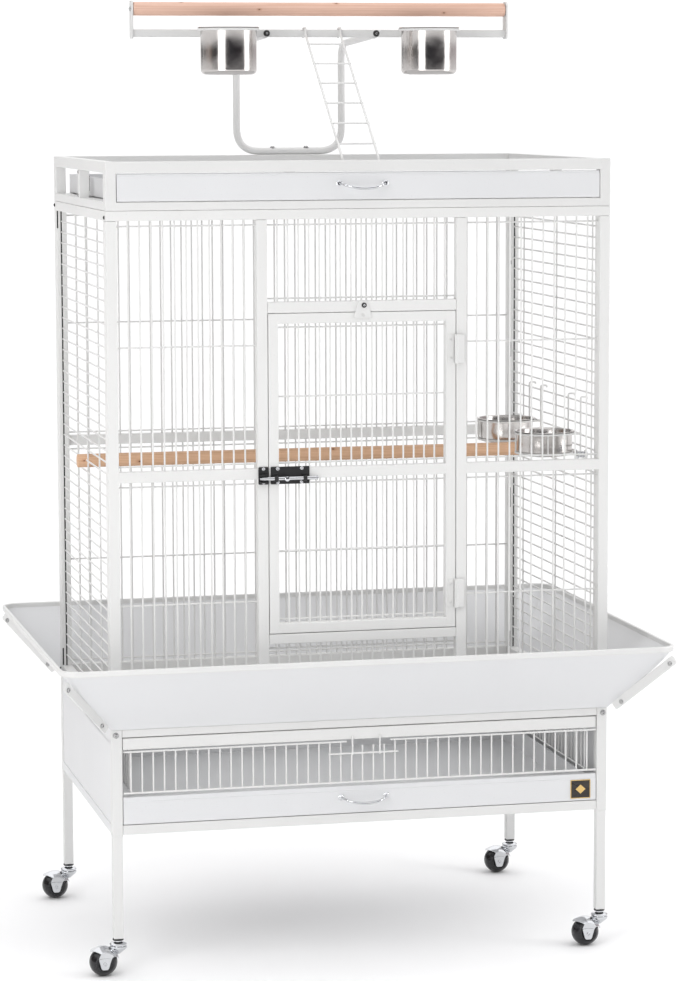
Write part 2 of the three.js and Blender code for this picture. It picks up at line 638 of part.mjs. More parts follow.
function turnTab() {
  const half = TAB_WIDTH / 2;
  const low = doorTopZ - TAB_OVERLAP;
  const high = low + TAB_HEIGHT;
  const { inset, rise, round } = TAB_CORNER;
  const shape = new THREE.Shape();
  shape.moveTo(-half + inset, low);
  shape.lineTo(half - inset, low);
  shape.quadraticCurveTo(half, low, half - WELD, low + rise);
  shape.lineTo(round, high - round);
  shape.quadraticCurveTo(round, high, 0, high);
  shape.quadraticCurveTo(-round, high, -round, high - round);
  shape.lineTo(-half + WELD, low + rise);
  shape.quadraticCurveTo(-half, low, -half + inset, low);
  const y = front - FIT - LEAF_THICK;
  const geometry = new THREE.ExtrudeGeometry(shape, { depth: LEAF_THICK, bevelEnabled: false, curveSegments: 3 });
  return join(
    inPlane(geometry, X, Z, [0, front - FIT, 0]),
    rod("y", y - TAB_PIN.out, y + WELD, 0, low + TAB_PIN.rise, TAB_PIN.radius, 10),
    rod("y", y - TAB_STUD.out, y + WELD, 0, high - round, TAB_STUD.radius, 10),
  );
}

add("door", door(), powderCoat());
for (const [name, z] of Object.entries(HINGE_ZS)) add(`hinge_${name}`, hinge(z), powderCoat());
add("latch_base", latchBase(), blackSteel());
add("latch_bolt", latchBolt(), chrome());
add("latch_keeper", latchKeeper(), blackSteel());
add("turn_tab", turnTab(), powderCoat());

// ---- play-top box ----
function boxEnd(sy) {
  const [y0, y1] = sy < 0 ? [front, -inY] : [inY, halfD];
  const drawerGap = box(-inX, inX, y0 - WELD, y1 + WELD, boxZ + BOX_LOWER_RAIL, boxTopZ - BOX_UPPER_RAIL);
  const whole = cut(box(-halfW, halfW, y0, y1, boxZ, boxTopZ), drawerGap);
  if (sy < 0) return whole;
  const upright = TUBE / 2;
  return join(whole, box(-upright, upright, y0, y1, boxZ + WELD, boxTopZ - WELD));
}

function boxSide(sx) {
  const y = inY - FIT;
  const windows = [-1, 1].map((s) =>
    box(inX - WELD, halfW + WELD, (s * TUBE) / 2, s * (y - WINDOW_EDGE), boxZ + BOX_LOWER_RAIL, boxTopZ - BOX_UPPER_RAIL),
  );
  const side = cut(box(inX, halfW, -y, y, boxZ, boxTopZ), ...windows);
  const ledgeZ = boxZ + BOX_LOWER_RAIL;
  const whole = join(side, box(inX - LEDGE, inX + WELD, -y, y, ledgeZ - LEDGE_THICK, ledgeZ));
  return sx > 0 ? whole : toGeometry(toSolid(whole).mirror([1, 0, 0]));
}

for (const [name, sy] of Object.entries(ENDS)) add(`box_${name}`, boxEnd(sy), powderCoat());
for (const [name, sx] of Object.entries(SIDES)) add(`box_${name}`, boxSide(sx), powderCoat());

// ---- play stand: hoop, bar, perch and ladder ----
function arc(centre, from, to, radius, place) {
  const steps = 6;
  return Array.from({ length: steps + 1 }, (_, i) => {
    const angle = from + ((to - from) * i) / steps;
    return place(centre[0] + radius * Math.cos(angle), centre[1] + radius * Math.sin(angle));
  });
}

function hoop() {
  const y = halfD - TUBE / 2;
  const foot = boxTopZ + FIT + HOOP_RADIUS;
  const half = HOOP_SPAN / 2;
  const arm = BAR_Z - HOOP_ARM_DROP;
  const side = (s) => [
    new THREE.Vector3(s * half, barBack + FIT, BAR_Z - WELD),
    ...arc([y - HOOP_SHOULDER_BEND, arm - HOOP_SHOULDER_BEND], Math.PI / 2, 0, HOOP_SHOULDER_BEND, (a, b) =>
      new THREE.Vector3(s * half, a, b)),
    ...arc([half - HOOP_BEND, foot + HOOP_BEND], 0, -Math.PI / 2, HOOP_BEND, (a, b) =>
      new THREE.Vector3(s * a, y, b)),
  ];
  const path = new THREE.CurvePath();
  const points = [...side(-1), ...side(1).reverse()];
  points.slice(1).forEach((p, i) => path.add(new THREE.LineCurve3(points[i], p)));
  const section = new THREE.Shape().absarc(0, 0, HOOP_RADIUS, 0, 2 * Math.PI, false);
  return new THREE.ExtrudeGeometry(section, { steps: 48, extrudePath: path, curveSegments: 3 });
}

function playBar() {
  const half = BAR_LENGTH / 2;
  const size = BAR_SIZE / 2;
  const plates = [-1, 1].map((s) =>
    box(s * half, s * (half + END_PLATE), BAR_Y - END_PLATE_WIDTH / 2, BAR_Y + END_PLATE_WIDTH / 2,
      BAR_Z - size - END_PLATE_DROP, BAR_Z + END_PLATE_RISE),
  );
  return join(box(-half - WELD, half + WELD, barFront, barBack, BAR_Z - size, BAR_Z + size), ...plates);
}

function ladder() {
  const top = BAR_Z + BAR_SIZE / 2 + FIT + LADDER_WIRE / 2;
  const frontY = barFront - FIT - LADDER_WIRE / 2;
  const backY = barBack + FIT + LADDER_WIRE / 2;
  const footY = -inY + FIT + LADDER_WIRE / 2;
  const footZ = boxTopZ + LADDER_FOOT_RISE;
  const start = BAR_Z - LADDER_START;
  const line = [
    [backY, BAR_Z],
    [backY, top - WELD],
    [backY - LADDER_BEND, top],
    [frontY + LADDER_BEND, top],
    [frontY, top - WELD],
    [frontY, start],
    [footY, footZ],
    [footY, footZ - LADDER_FOOT],
  ];
  const half = LADDER_SPAN / 2;
  const rails = [-half, half].map((x) =>
    inPlane(extrude(band(line, LADDER_WIRE), LADDER_WIRE), Y, Z, [LADDER_X + x - LADDER_WIRE / 2, 0, 0]),
  );
  const run = Math.hypot(footY - frontY, footZ - start);
  const rungs = Array.from({ length: RUNG_COUNT }, (_, i) => {
    const t = (FIRST_RUNG + i * RUNG_PITCH) / run;
    const [y, z] = [frontY + (footY - frontY) * t, start + (footZ - start) * t];
    return rod("x", LADDER_X - half, LADDER_X + half, y, z, LADDER_WIRE / 2 - RUNG_MARGIN, 6);
  });
  return join(...rails, ...rungs);
}

add("hoop", hoop(), powderCoat());
add("play_bar", playBar(), powderCoat());
add(
  "top_perch",
  rod("x", -BAR_LENGTH / 2 + FIT, BAR_LENGTH / 2 - FIT, BAR_Y, BAR_Z + TOP_PERCH_RISE, PERCH_RADIUS, 14),
  pine(),
);
add("ladder", ladder(), powderCoat());

// ---- inner perch: its ends are slotted to grip the wires of the side walls ----
function innerPerch() {
  const end = halfW + PERCH_OVERHANG;
  const slot = WIRE / 2 + PERCH_SLOT.gap;
  const [y0, y1] = [INNER_PERCH_Y - PERCH_SLOT.half, INNER_PERCH_Y + PERCH_SLOT.half];
  const wires = sideWireGaps.slice(1).map(([low]) => low - WIRE / 2);
  const near = wires.filter((z) => Math.abs(z - INNER_PERCH_Z) < PERCH_RADIUS + slot);
  const slots = near.flatMap((z) =>
    [-1, 1].map((s) => box(s * (inX - CUP_BRACKET.lap), s * (end + WELD), y0, y1, z - slot, z + slot)),
  );
  const wood = rod("x", -end, end, INNER_PERCH_Y, INNER_PERCH_Z, PERCH_RADIUS, 14);
  return slots.length ? cut(wood, ...slots) : wood;
}

add("inner_perch", innerPerch(), pine());

// ---- cups and their holders ----
function cup(x, y, rimZ, depth) {
  const low = rimZ - depth;
  const inner = CUP_RADIUS - CUP_WALL;
  const shape = turned(
    [
      [0, low],
      [CUP_RADIUS - CUP_BEND.out, low],
      [CUP_RADIUS - CUP_BEND.in, low + CUP_BEND.in],
      [CUP_RADIUS, low + CUP_BEND.out],
      [CUP_RADIUS, rimZ - CUP_WALL],
      [CUP_RADIUS + CUP_RIM, rimZ - CUP_WALL],
      [CUP_RADIUS + CUP_RIM, rimZ],
      [inner, rimZ],
      [inner, low + CUP_BEND.out],
      [inner - CUP_BEND.in, low + CUP_BEND.in + CUP_WALL],
      [inner - CUP_BEND.out, low + CUP_WALL],
      [0, low + CUP_WALL],
    ],
    16,
  );
  return toGeometry(toSolid(shape)).translate(x, y, 0);
}

function ring(rimZ) {
  const inner = CUP_RADIUS + RING_GAP;
  const outer = inner + RING_THICK;
  const top = rimZ - CUP_WALL - FIT;
  const low = top - RING_HEIGHT;
  return turned([[inner, low], [outer, low], [outer, top], [inner, top], [inner, low]], 16);
}

function topCupHolder(x) {
  const reach = barFront - FIT;
  const top = TOP_CUP_Z - CUP_WALL - FIT;
  const { half, height, lap } = CUP_BRACKET;
  const bracket = box(x - half, x + half, topCupY + CUP_RADIUS + lap, reach, top - height, top);
  return join(ring(TOP_CUP_Z).translate(x, topCupY, 0), bracket);
}

const innerCupX = inX - CUP_BRACKET.lap - CUP_RADIUS - CUP_RIM - SLIDE;

function innerCupHolder(y) {
  const top = INNER_CUP_Z - CUP_WALL - FIT;
  const plateX = inX - FIT;
  const { half, lap } = CUP_BRACKET;
  const arm = box(innerCupX + CUP_RADIUS + lap, plateX, y - half, y + half, top - RING_HEIGHT, top);
  const plate = box(plateX - HANGER.thick, plateX, y - half, y + half, top - HANGER.drop, top + HANGER.rise);
  return join(ring(INNER_CUP_Z).translate(innerCupX, y, 0), arm, plate);
}

for (const [name, sx] of Object.entries(SIDES)) {
  const x = sx * TOP_CUP_X;
  add(`top_cup_holder_${name}`, topCupHolder(x), powderCoat());
  add(`top_cup_${name}`, cup(x, topCupY, TOP_CUP_Z, TOP_CUP_DEPTH), stainless());
}
for (const [name, y] of Object.entries(INNER_CUP_YS)) {
  add(`inner_cup_holder_${name}`, innerCupHolder(y), powderCoat());
  add(`inner_cup_${name}`, cup(innerCupX, y, INNER_CUP_Z, INNER_CUP_DEPTH), stainless());
}

// ---- casters: a hooded ball wheel that trails its swivel stem ----
const ball = (radius, x, y) => new THREE.SphereGeometry(radius, 12, 8).translate(x, y, BALL_RADIUS);

function casterHood(x, y) {
  const wheelX = x - BALL_TRAIL;
  const inner = BALL_RADIUS + HOOD_GAP;
  const outer = inner + HOOD_WALL;
  const cheek = BALL_HALF_WIDTH + CHEEK.gap;
  const plateLow = BALL_RADIUS + SWIVEL_PLATE.rise;
  const plateHigh = plateLow + SWIVEL_PLATE.thick;
  const dome = overlap(ball(outer, wheelX, y), box(wheelX - outer, wheelX + outer, y - outer, y + outer,
    BALL_RADIUS + HOOD_EDGE, BALL_RADIUS + outer + WELD));
  const discs = join(
    rod("z", plateLow, plateHigh, x, y, SWIVEL_PLATE.radius, 10),
    rod("z", plateHigh - SWIVEL_NECK.lap, legFootZ - SWIVEL_NECK.gap, x, y, SWIVEL_NECK.radius, 10),
    rod("z", plateHigh - SWIVEL_NECK.lap, legFootZ + STEM_IN_LEG, x, y, STEM_RADIUS, 8),
  );
  const shell = cut(join(dome, discs), ball(inner, wheelX, y));
  const cheeks = [-1, 1].map((s) =>
    box(wheelX - CHEEK.half, wheelX + CHEEK.half, y + s * cheek, y + s * (cheek + CHEEK.thick),
      BALL_RADIUS - CHEEK.drop, BALL_RADIUS + CHEEK.rise),
  );
  const axle = rod("y", y - cheek - WELD, y + cheek + WELD, wheelX, BALL_RADIUS, AXLE_RADIUS, 8);
  return join(shell, ...cheeks, axle);
}

function casterBall(x, y) {
  const bore = AXLE_RADIUS + AXLE_GAP;
  const half = BALL_HALF_WIDTH;
  const at = (w) => Math.sqrt(BALL_RADIUS ** 2 - w ** 2);
  const stations = [-half, ...BALL_STATIONS, half];
  const profile = [[bore, -half], ...stations.map((w) => [at(w), w]), [bore, half], [bore, -half]];
  return turned(profile, 16).rotateX(-Math.PI / 2).translate(x - BALL_TRAIL, y, BALL_RADIUS);
}

for (const [endName, sy] of Object.entries(ENDS)) {
  for (const [sideName, sx] of Object.entries(SIDES)) {
    const [x, y] = [sx * (halfW - TUBE / 2), sy * (halfD - TUBE / 2)];
    add(`caster_hood_${endName}_${sideName}`, casterHood(x, y), chrome());
    add(`caster_ball_${endName}_${sideName}`, casterBall(x, y), blackPlastic());
  }
}

export default cage;
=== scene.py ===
"""The looks of a play-top bird cage on a wheeled stand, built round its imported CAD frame.

Metres, in the row frame: +Z up, and the side with the door faces -Y. Positions come from the CAD
nodes' boxes.
"""

import math

import bmesh
import bpy
import numpy as np
from mathutils import Matrix, Vector


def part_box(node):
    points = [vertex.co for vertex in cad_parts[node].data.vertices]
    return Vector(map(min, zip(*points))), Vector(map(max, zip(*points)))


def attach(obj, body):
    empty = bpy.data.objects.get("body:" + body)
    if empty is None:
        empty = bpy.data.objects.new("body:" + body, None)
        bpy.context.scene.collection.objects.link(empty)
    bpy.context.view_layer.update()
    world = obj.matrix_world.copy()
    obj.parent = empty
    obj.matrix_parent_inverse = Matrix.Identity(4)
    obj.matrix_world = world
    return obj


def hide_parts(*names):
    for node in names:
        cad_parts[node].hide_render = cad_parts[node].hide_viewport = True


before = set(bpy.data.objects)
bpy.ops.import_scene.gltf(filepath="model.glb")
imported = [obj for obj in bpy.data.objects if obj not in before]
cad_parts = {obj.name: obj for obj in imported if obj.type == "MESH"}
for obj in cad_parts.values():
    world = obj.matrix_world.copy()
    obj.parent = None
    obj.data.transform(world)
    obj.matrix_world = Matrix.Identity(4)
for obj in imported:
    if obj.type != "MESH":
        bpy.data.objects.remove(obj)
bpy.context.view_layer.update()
MM = 0.001
WIRE = 1.6 * MM
EDGE = 1.3 * MM


def cad(node):
    """A CAD node's lowest and highest corner, as two arrays."""
    low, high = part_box(node)
    return np.array(low), np.array(high)


LEG_LOW, LEG_HIGH = cad("leg_front_right")
HALF_W, HALF_D = LEG_HIGH[0], -LEG_LOW[1]
TUBE = HALF_W - LEG_LOW[0]
IN_X, IN_Y = HALF_W - TUBE, HALF_D - TUBE
WIRE_Y = HALF_D - TUBE / 2
WIRE_X = HALF_W - TUBE / 2
FRONT = -HALF_D
RIDGE_Z = cad("front_top_rail")[1][2]
SIDES = {"left": -1, "right": 1}
ENDS = {"front": -1, "back": 1}
X, Y, Z = np.eye(3)


# ---- surfaces: each helper gives (vertices, faces) of one closed shell ----
def loft(rings, closed=False):
    """A skin over rings of shape (m, k, 3): quad (i, j) joins ring i to ring i + 1; an open run gets a flat
    face at each end."""
    rings = np.asarray(rings, float)
    m, k = rings.shape[:2]
    i = np.arange(m if closed else m - 1)[:, None]
    j = np.arange(k)[None, :]
    a, b = i * k + j, i * k + (j + 1) % k
    up = ((i + 1) % m) * k
    quads = np.stack([a, b, up + (j + 1) % k, up + j], -1).reshape(-1, 4)
    faces = quads.tolist()
    if not closed:
        faces += [list(range(k))[::-1], list(range((m - 1) * k, m * k))]
    return rings.reshape(-1, 3), faces


def rods(starts, ends, radius=WIRE, sides=8):
    """Straight wires: point = end + r (u cos t + v sin t), with u and v square to each wire, and a flat face
    at both ends."""
    a, b = np.atleast_2d(np.array(starts, float)), np.atleast_2d(np.array(ends, float))
    along = (b - a) / np.linalg.norm(b - a, axis=1, keepdims=True)
    helper = np.where(np.abs(along[:, 2:]) < 0.9, [[0, 0, 1.0]], [[1.0, 0, 0]])
    u = np.cross(along, helper)
    u /= np.linalg.norm(u, axis=1, keepdims=True)
    v = np.cross(along, u)
    t = (np.arange(sides) + 0.5) * 2 * np.pi / sides
    ring = radius * (u[:, None] * np.cos(t)[None, :, None] + v[:, None] * np.sin(t)[None, :, None])
    verts = np.stack([a[:, None] + ring, b[:, None] + ring], 1).reshape(-1, 3)
    j = np.arange(sides)
    base = np.arange(len(a))[:, None] * 2 * sides
    near, far = base + j, base + sides + j
    step = (j + 1) % sides
    quads = np.stack([near, base + step, base + sides + step, far], -1).reshape(-1, 4)
    return verts, quads.tolist() + near[:, ::-1].tolist() + far.tolist()


def outline_of(half_a, half_b, radius, steps=3):
    """A rectangle with round corners: corner centre + r (cos t, sin t), with a point 0.4 mm past each arc to
    hold the flats."""
    points = []
    for k, (sa, sb) in enumerate(((1, 1), (-1, 1), (-1, -1), (1, -1))):
        t = np.linspace(k, k + 1, steps + 1) * np.pi / 2
        arc = np.stack(
            [sa * (half_a - radius) + radius * np.cos(t), sb * (half_b - radius) + radius * np.sin(t)], 1
        )
        hold = 0.4 * MM
        first = arc[0] + hold * np.array([np.sin(t[0]), -np.cos(t[0])])
        last = arc[-1] + hold * np.array([-np.sin(t[-1]), np.cos(t[-1])])
        points += [first, *arc, last]
    return np.array(points)


def bar(low, high, axis=None, radius=EDGE):
    """A straight bar with round long edges: the same outline at every station along its longest side, drawn
    in by r at the ends."""
    low, high = np.minimum(low, high), np.maximum(low, high)
    size = high - low
    axis = int(np.argmax(size)) if axis is None else axis
    a, b = [k for k in range(3) if k != axis]
    radius = min(radius, size[a] * 0.45, size[b] * 0.45)
    middle = (low + high) / 2
    rings = []
    chamfer = radius * 0.6
    for at, draw in ((0, chamfer), (chamfer, 0), (size[axis] - chamfer, 0), (size[axis], chamfer)):
        flat = outline_of(size[a] / 2 - draw, size[b] / 2 - draw, max(radius - draw, 0.2 * MM))
        ring = np.empty((len(flat), 3))
        ring[:, a], ring[:, b] = middle[a] + flat[:, 0], middle[b] + flat[:, 1]
        ring[:, axis] = low[axis] + at
        rings.append(ring)
    return loft(rings)


def drawn_in(points, by):
    """A closed outline moved inwards: each corner goes along its mitre, by / cos of half the turn."""
    before, after = points - np.roll(points, 1, 0), np.roll(points, -1, 0) - points
    before /= np.linalg.norm(before, axis=1, keepdims=True)
    after /= np.linalg.norm(after, axis=1, keepdims=True)
    n1 = np.stack([-before[:, 1], before[:, 0]], 1)
    n2 = np.stack([-after[:, 1], after[:, 0]], 1)
    mitre = n1 + n2
    mitre /= np.maximum(np.sum(mitre * n1, 1, keepdims=True), 0.3)
    area = np.sum(points[:, 0] * np.roll(points[:, 1], -1) - np.roll(points[:, 0], -1) * points[:, 1])
    return points + np.sign(area) * mitre * by


def slab(points, origin, u, v, depth, edge=0.3 * MM):
    """A flat plate: an outline in the plane of u and v, thickened along u x v, with a small chamfer round
    both faces."""
    points = np.asarray(points, float)
    w = np.cross(u, v)
    inner = drawn_in(points, edge)
    rings = []
    for flat, at in ((inner, 0), (points, edge), (points, depth - edge), (inner, depth)):
        rings.append(np.asarray(origin) + flat[:, :1] * u + flat[:, 1:] * v + at * w)
    return loft(rings)


def plate(low, high, normal, radius=0.6 * MM, edge=0.25 * MM):
    """A rectangular plate that fills a box, its face square to one axis, with round corners of the given
    radius."""
    low, high = np.minimum(low, high), np.maximum(low, high)
    a, b = {0: (1, 2), 1: (2, 0), 2: (0, 1)}[normal]
    middle = (low + high) / 2
    flat = outline_of((high[a] - low[a]) / 2, (high[b] - low[b]) / 2, radius)
    origin = middle.copy()
    origin[normal] = low[normal]
    return slab(flat, origin, np.eye(3)[a], np.eye(3)[b], high[normal] - low[normal], edge)


def turned(profile, origin, axis=Z, sides=32, closed=False):
    """A profile of (radius, height) turned round an axis: p = o + h w + r (u cos t + v sin t)."""
    profile = np.asarray(profile, float)
    w = np.asarray(axis, float) / np.linalg.norm(axis)
    u = np.cross(w, Z if abs(w[2]) < 0.9 else X)
    u /= np.linalg.norm(u)
    v = np.cross(w, u)
    t = np.arange(sides) * 2 * np.pi / sides
    spoke = u * np.cos(t)[:, None] + v * np.sin(t)[:, None]
    rings = np.asarray(origin) + profile[:, 1, None, None] * w + profile[:, 0, None, None] * spoke[None]
    return loft(rings, closed)


def swept(path, radius, sides=12):
    """A round bar along a path: rings in the plane square to it, their axes carried on without twist; radius
    may vary."""
    path = np.asarray(path, float)
    radius = np.broadcast_to(np.asarray(radius, float), len(path))
    tangent = np.gradient(path, axis=0)
    tangent /= np.linalg.norm(tangent, axis=1, keepdims=True)
    u = np.cross(tangent[0], Z if abs(tangent[0][2]) < 0.9 else X)
    t = np.arange(sides) * 2 * np.pi / sides
    rings = []
    for p, d, r in zip(path, tangent, radius):
        u = u - d * np.dot(u, d)
        u /= np.linalg.norm(u)
        v = np.cross(d, u)
        rings.append(p + r * (u * np.cos(t)[:, None] + v * np.sin(t)[:, None]))
    return loft(rings)


def bent(points, radius, steps=7):
    """A polyline with its corners bent round: q(s) = (1-s)^2 a + 2 s (1-s) corner + s^2 b, with a and b one
    radius from it."""
    points = np.asarray(points, float)
    radius = np.broadcast_to(np.asarray(radius, float), len(points))
    path = [points[0]]
    s = np.linspace(0, 1, steps)[:, None]
    for before, corner, after, r in zip(points, points[1:], points[2:], radius[1:]):
        back, on = before - corner, after - corner
        a = corner + back * min(r / np.linalg.norm(back), 0.49)
        b = corner + on * min(r / np.linalg.norm(on), 0.49)
        path += list((1 - s) ** 2 * a + 2 * s * (1 - s) * corner + s**2 * b)
    return np.array([*path, points[-1]])


def sheet(outer, inner):
    """Thick sheet metal between two grids of shape (m, n, 3), closed by a strip of quads along each of the
    four edges."""
    outer, inner = np.asarray(outer, float), np.asarray(inner, float)
    m, n = outer.shape[:2]
    grid = np.arange(m * n).reshape(m, n)
    a, b, c, d = grid[:-1, :-1], grid[1:, :-1], grid[1:, 1:], grid[:-1, 1:]
    top = np.stack([a, b, c, d], -1).reshape(-1, 4)
    low = np.stack([a, d, c, b], -1).reshape(-1, 4) + m * n
    rim = np.concatenate([grid[:, 0], grid[-1, 1:], grid[-2::-1, -1], grid[0, -2:0:-1]])
    on = np.roll(rim, -1)
    sides = np.stack([rim, rim + m * n, on + m * n, on], -1)
    return np.concatenate(
        [outer.reshape(-1, 3), inner.reshape(-1, 3)]
    ), np.concatenate([top, low, sides]).tolist()


def mirrored(shells, axis):
    """The same shells on the other side of the plane through the origin."""
    flip = np.ones(3)
    flip[axis] = -1
    return [(np.asarray(v) * flip, f) for v, f in shells]


def make(name, shells, material, body, stands_for=(), smooth=38):
    """One mesh object of several closed shells, faces out, edges sharper than the given angle kept sharp."""
    verts, faces, count = [], [], 0
    for v, f in shells:
        verts.append(v)
        faces += [[i + count for i in face] for face in f]
        count += len(v)
    mesh = bpy.data.meshes.new(name)
    mesh.from_pydata(np.concatenate(verts).tolist(), [], faces)
    work = bmesh.new()
    work.from_mesh(mesh)
    bmesh.ops.recalc_face_normals(work, faces=work.faces)
    work.to_mesh(mesh)
    work.free()
    mesh.polygons.foreach_set("use_smooth", np.ones(len(mesh.polygons), bool))
    mesh.set_sharp_from_angle(angle=math.radians(smooth))
    mesh.materials.append(material)
    piece = bpy.data.objects.new(name, mesh)
    bpy.context.scene.collection.objects.link(piece)
    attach(piece, body)
    if stands_for:
        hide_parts(*stands_for)
    return piece


# ---- materials ----
class Recipe:
    """A node material: add() makes a node with its inputs set, and wire() joins an output to an input."""

    def __init__(self, name, **constants):
        """Start from a principled surface with the given inputs, read on Object coordinates."""
        self.material = bpy.data.materials.new(name)
        self.material.use_nodes = True
        self.tree = self.material.node_tree
        self.surface = self.tree.nodes["Principled BSDF"]
        for key, value in constants.items():
            self.surface.inputs[key.replace("_", " ")].default_value = value
        self.place = self.add("ShaderNodeTexCoord").outputs["Object"]

    def add(self, kind, inputs=None, **settings):
        """A node with its inputs set or joined, and its settings made."""
        node = self.tree.nodes.new(kind)
        for key, value in settings.items():
            setattr(node, key, value)
        for key, value in (inputs or {}).items():
            if isinstance(value, bpy.types.NodeSocket):
                self.tree.links.new(value, node.inputs[key])
            else:
                node.inputs[key].default_value = value
        return node

    def wire(self, output, name):
        """Join an output to an input of the surface."""
        self.tree.links.new(output, self.surface.inputs[name])

    def noise(self, scale, detail=3, stretch=(1, 1, 1), roughness=0.5, distortion=0.0):
        """Noise from 0 to 1 on the stretched coordinates."""
        moved = self.add("ShaderNodeMapping", {"Vector": self.place, "Scale": stretch})
        inputs = {"Vector": moved.outputs[0], "Scale": scale, "Detail": detail, "Roughness": roughness}
        return self.add("ShaderNodeTexNoise", {**inputs, "Distortion": distortion}).outputs["Fac"]

    def span(self, value, low, high, out_low, out_high):
        """The value, carried from one range to another and clamped."""
        inputs = {"Value": value, "From Min": low, "From Max": high, "To Min": out_low, "To Max": out_high}
        return self.add("ShaderNodeMapRange", inputs).outputs[0]

    def mix(self, share, a, b):
        """Colour a where the share is 0, and b where it is 1."""
        node = self.add("ShaderNodeMix", data_type="RGBA")
        for index, value in ((0, share), (6, a), (7, b)):
            if isinstance(value, bpy.types.NodeSocket):
                self.tree.links.new(value, node.inputs[index])
            else:
                node.inputs[index].default_value = value
        return node.outputs[2]

    def bump(self, height, strength, distance):
        """Bend the normal by a height."""
        node = self.add("ShaderNodeBump", {"Height": height, "Strength": strength, "Distance": distance})
        self.wire(node.outputs[0], "Normal")


def powder_coat(name, colour, shade=0.94):
    """White powder coat: orange peel about a millimetre across, faint clouding, and pin-prick specks."""
    r = Recipe(name, Specular_IOR_Level=0.45)
    cloud = r.noise(7, 4)
    speck = r.span(r.noise(520, 2), 0.24, 0.31, 1, 0)
    base = r.mix(cloud, (*[c * shade for c in colour], 1), (*colour, 1))
    r.wire(r.mix(speck, base, (*[c * 0.86 for c in colour], 1)), "Base Color")
    r.wire(r.span(cloud, 0.3, 0.7, 0.34, 0.46), "Roughness")
    r.bump(r.noise(780, 2), 0.16, 0.00012)
    return r.material


def pine(name, pale, dark, knots, centre):
    """Bare pine: rings round an off-centre pith, drawn out along X and warped by noise, fine streaks, and a
    few dark knots."""
    r = Recipe(name, Specular_IOR_Level=0.25)
    warp = r.noise(5, 3, (0.55, 6, 6), distortion=0.4)
    split = r.add("ShaderNodeSeparateXYZ", {0: r.place}).outputs
    side = r.add("ShaderNodeMath", {0: split[1], 1: -centre[0]}, operation="ADD").outputs[0]
    rise = r.add("ShaderNodeMath", {0: split[2], 1: -centre[1]}, operation="ADD").outputs[0]
    flat = r.add("ShaderNodeCombineXYZ", {1: side, 2: rise}).outputs[0]
    reach = r.add("ShaderNodeVectorMath", {0: flat}, operation="LENGTH").outputs["Value"]
    rings = r.add("ShaderNodeMath", {0: reach, 1: 2300.0, 2: 0.0}, operation="MULTIPLY_ADD").outputs[0]
    turn = r.add("ShaderNodeMath", {0: warp, 1: 17.0, 2: rings}, operation="MULTIPLY_ADD").outputs[0]
    wave = r.add("ShaderNodeMath", {0: turn}, operation="SINE").outputs[0]
    grain = r.span(wave, -1, 1, 0, 1)
    streak = r.noise(60, 4, (0.06, 9, 9))
    base = r.mix(r.span(grain, 0.15, 0.95, 0.0, 0.62), (*pale, 1), (*dark, 1))
    base = r.mix(r.span(streak, 0.45, 0.75, 0, 0.5), base, (*[c * 0.82 for c in dark], 1))
    for (x, y, z), size in knots:
        offset = r.add("ShaderNodeVectorMath", {0: r.place, 1: (x, y, z)}, operation="SUBTRACT").outputs[0]
        drawn = r.add("ShaderNodeVectorMath", {0: offset, 1: (0.55, 1, 1)}, operation="MULTIPLY").outputs[0]
        near = r.add("ShaderNodeVectorMath", {0: drawn}, operation="LENGTH").outputs["Value"]
        ragged = r.add(
            "ShaderNodeMath", {0: warp, 1: size * 0.8, 2: near}, operation="MULTIPLY_ADD"
        ).outputs[0]
        base = r.mix(r.span(ragged, size * 0.9, size * 2.6, 0.55, 0), base, (0.43, 0.19, 0.09, 1))
        base = r.mix(r.span(ragged, size * 0.7, size * 1.1, 0.95, 0), base, (0.10, 0.035, 0.02, 1))
    r.wire(base, "Base Color")
    r.wire(r.span(streak, 0.3, 0.7, 0.55, 0.72), "Roughness")
    r.bump(streak, 0.3, 0.0003)
    return r.material


def metal(name, colour, rough, stretch, scale=900, specks=0.0):
    """Bare bright metal: polishing lines as noise drawn out along one way, smudges that change its gloss,
    and a tint."""
    r = Recipe(name, Metallic=1.0)
    lines = r.noise(scale, 2, stretch)
    smudge = r.noise(38, 4, distortion=0.6)
    r.wire(r.mix(smudge, (*[c * (0.9 - specks) for c in colour], 1), (*colour, 1)), "Base Color")
    r.wire(r.span(smudge, 0.3, 0.72, rough[0], rough[1]), "Roughness")
    r.bump(lines, 0.05, 0.00005)
    return r.material


def gloss_black(name, colour, rough, peel):
    """Black paint or plastic: a fine skin of noise, dusty smears in the gloss and a little lint-grey."""
    r = Recipe(name, Specular_IOR_Level=0.5)
    dust = r.noise(60, 5, roughness=0.65)
    lint = r.span(dust, 0.52, 0.8, 0, 0.5)
    r.wire(r.mix(lint, (*colour, 1), (*[c * 3 + 0.012 for c in colour], 1)), "Base Color")
    r.wire(r.span(dust, 0.3, 0.7, rough[0], rough[1]), "Roughness")
    r.bump(r.noise(peel, 2), 0.1, 0.0001)
    return r.material


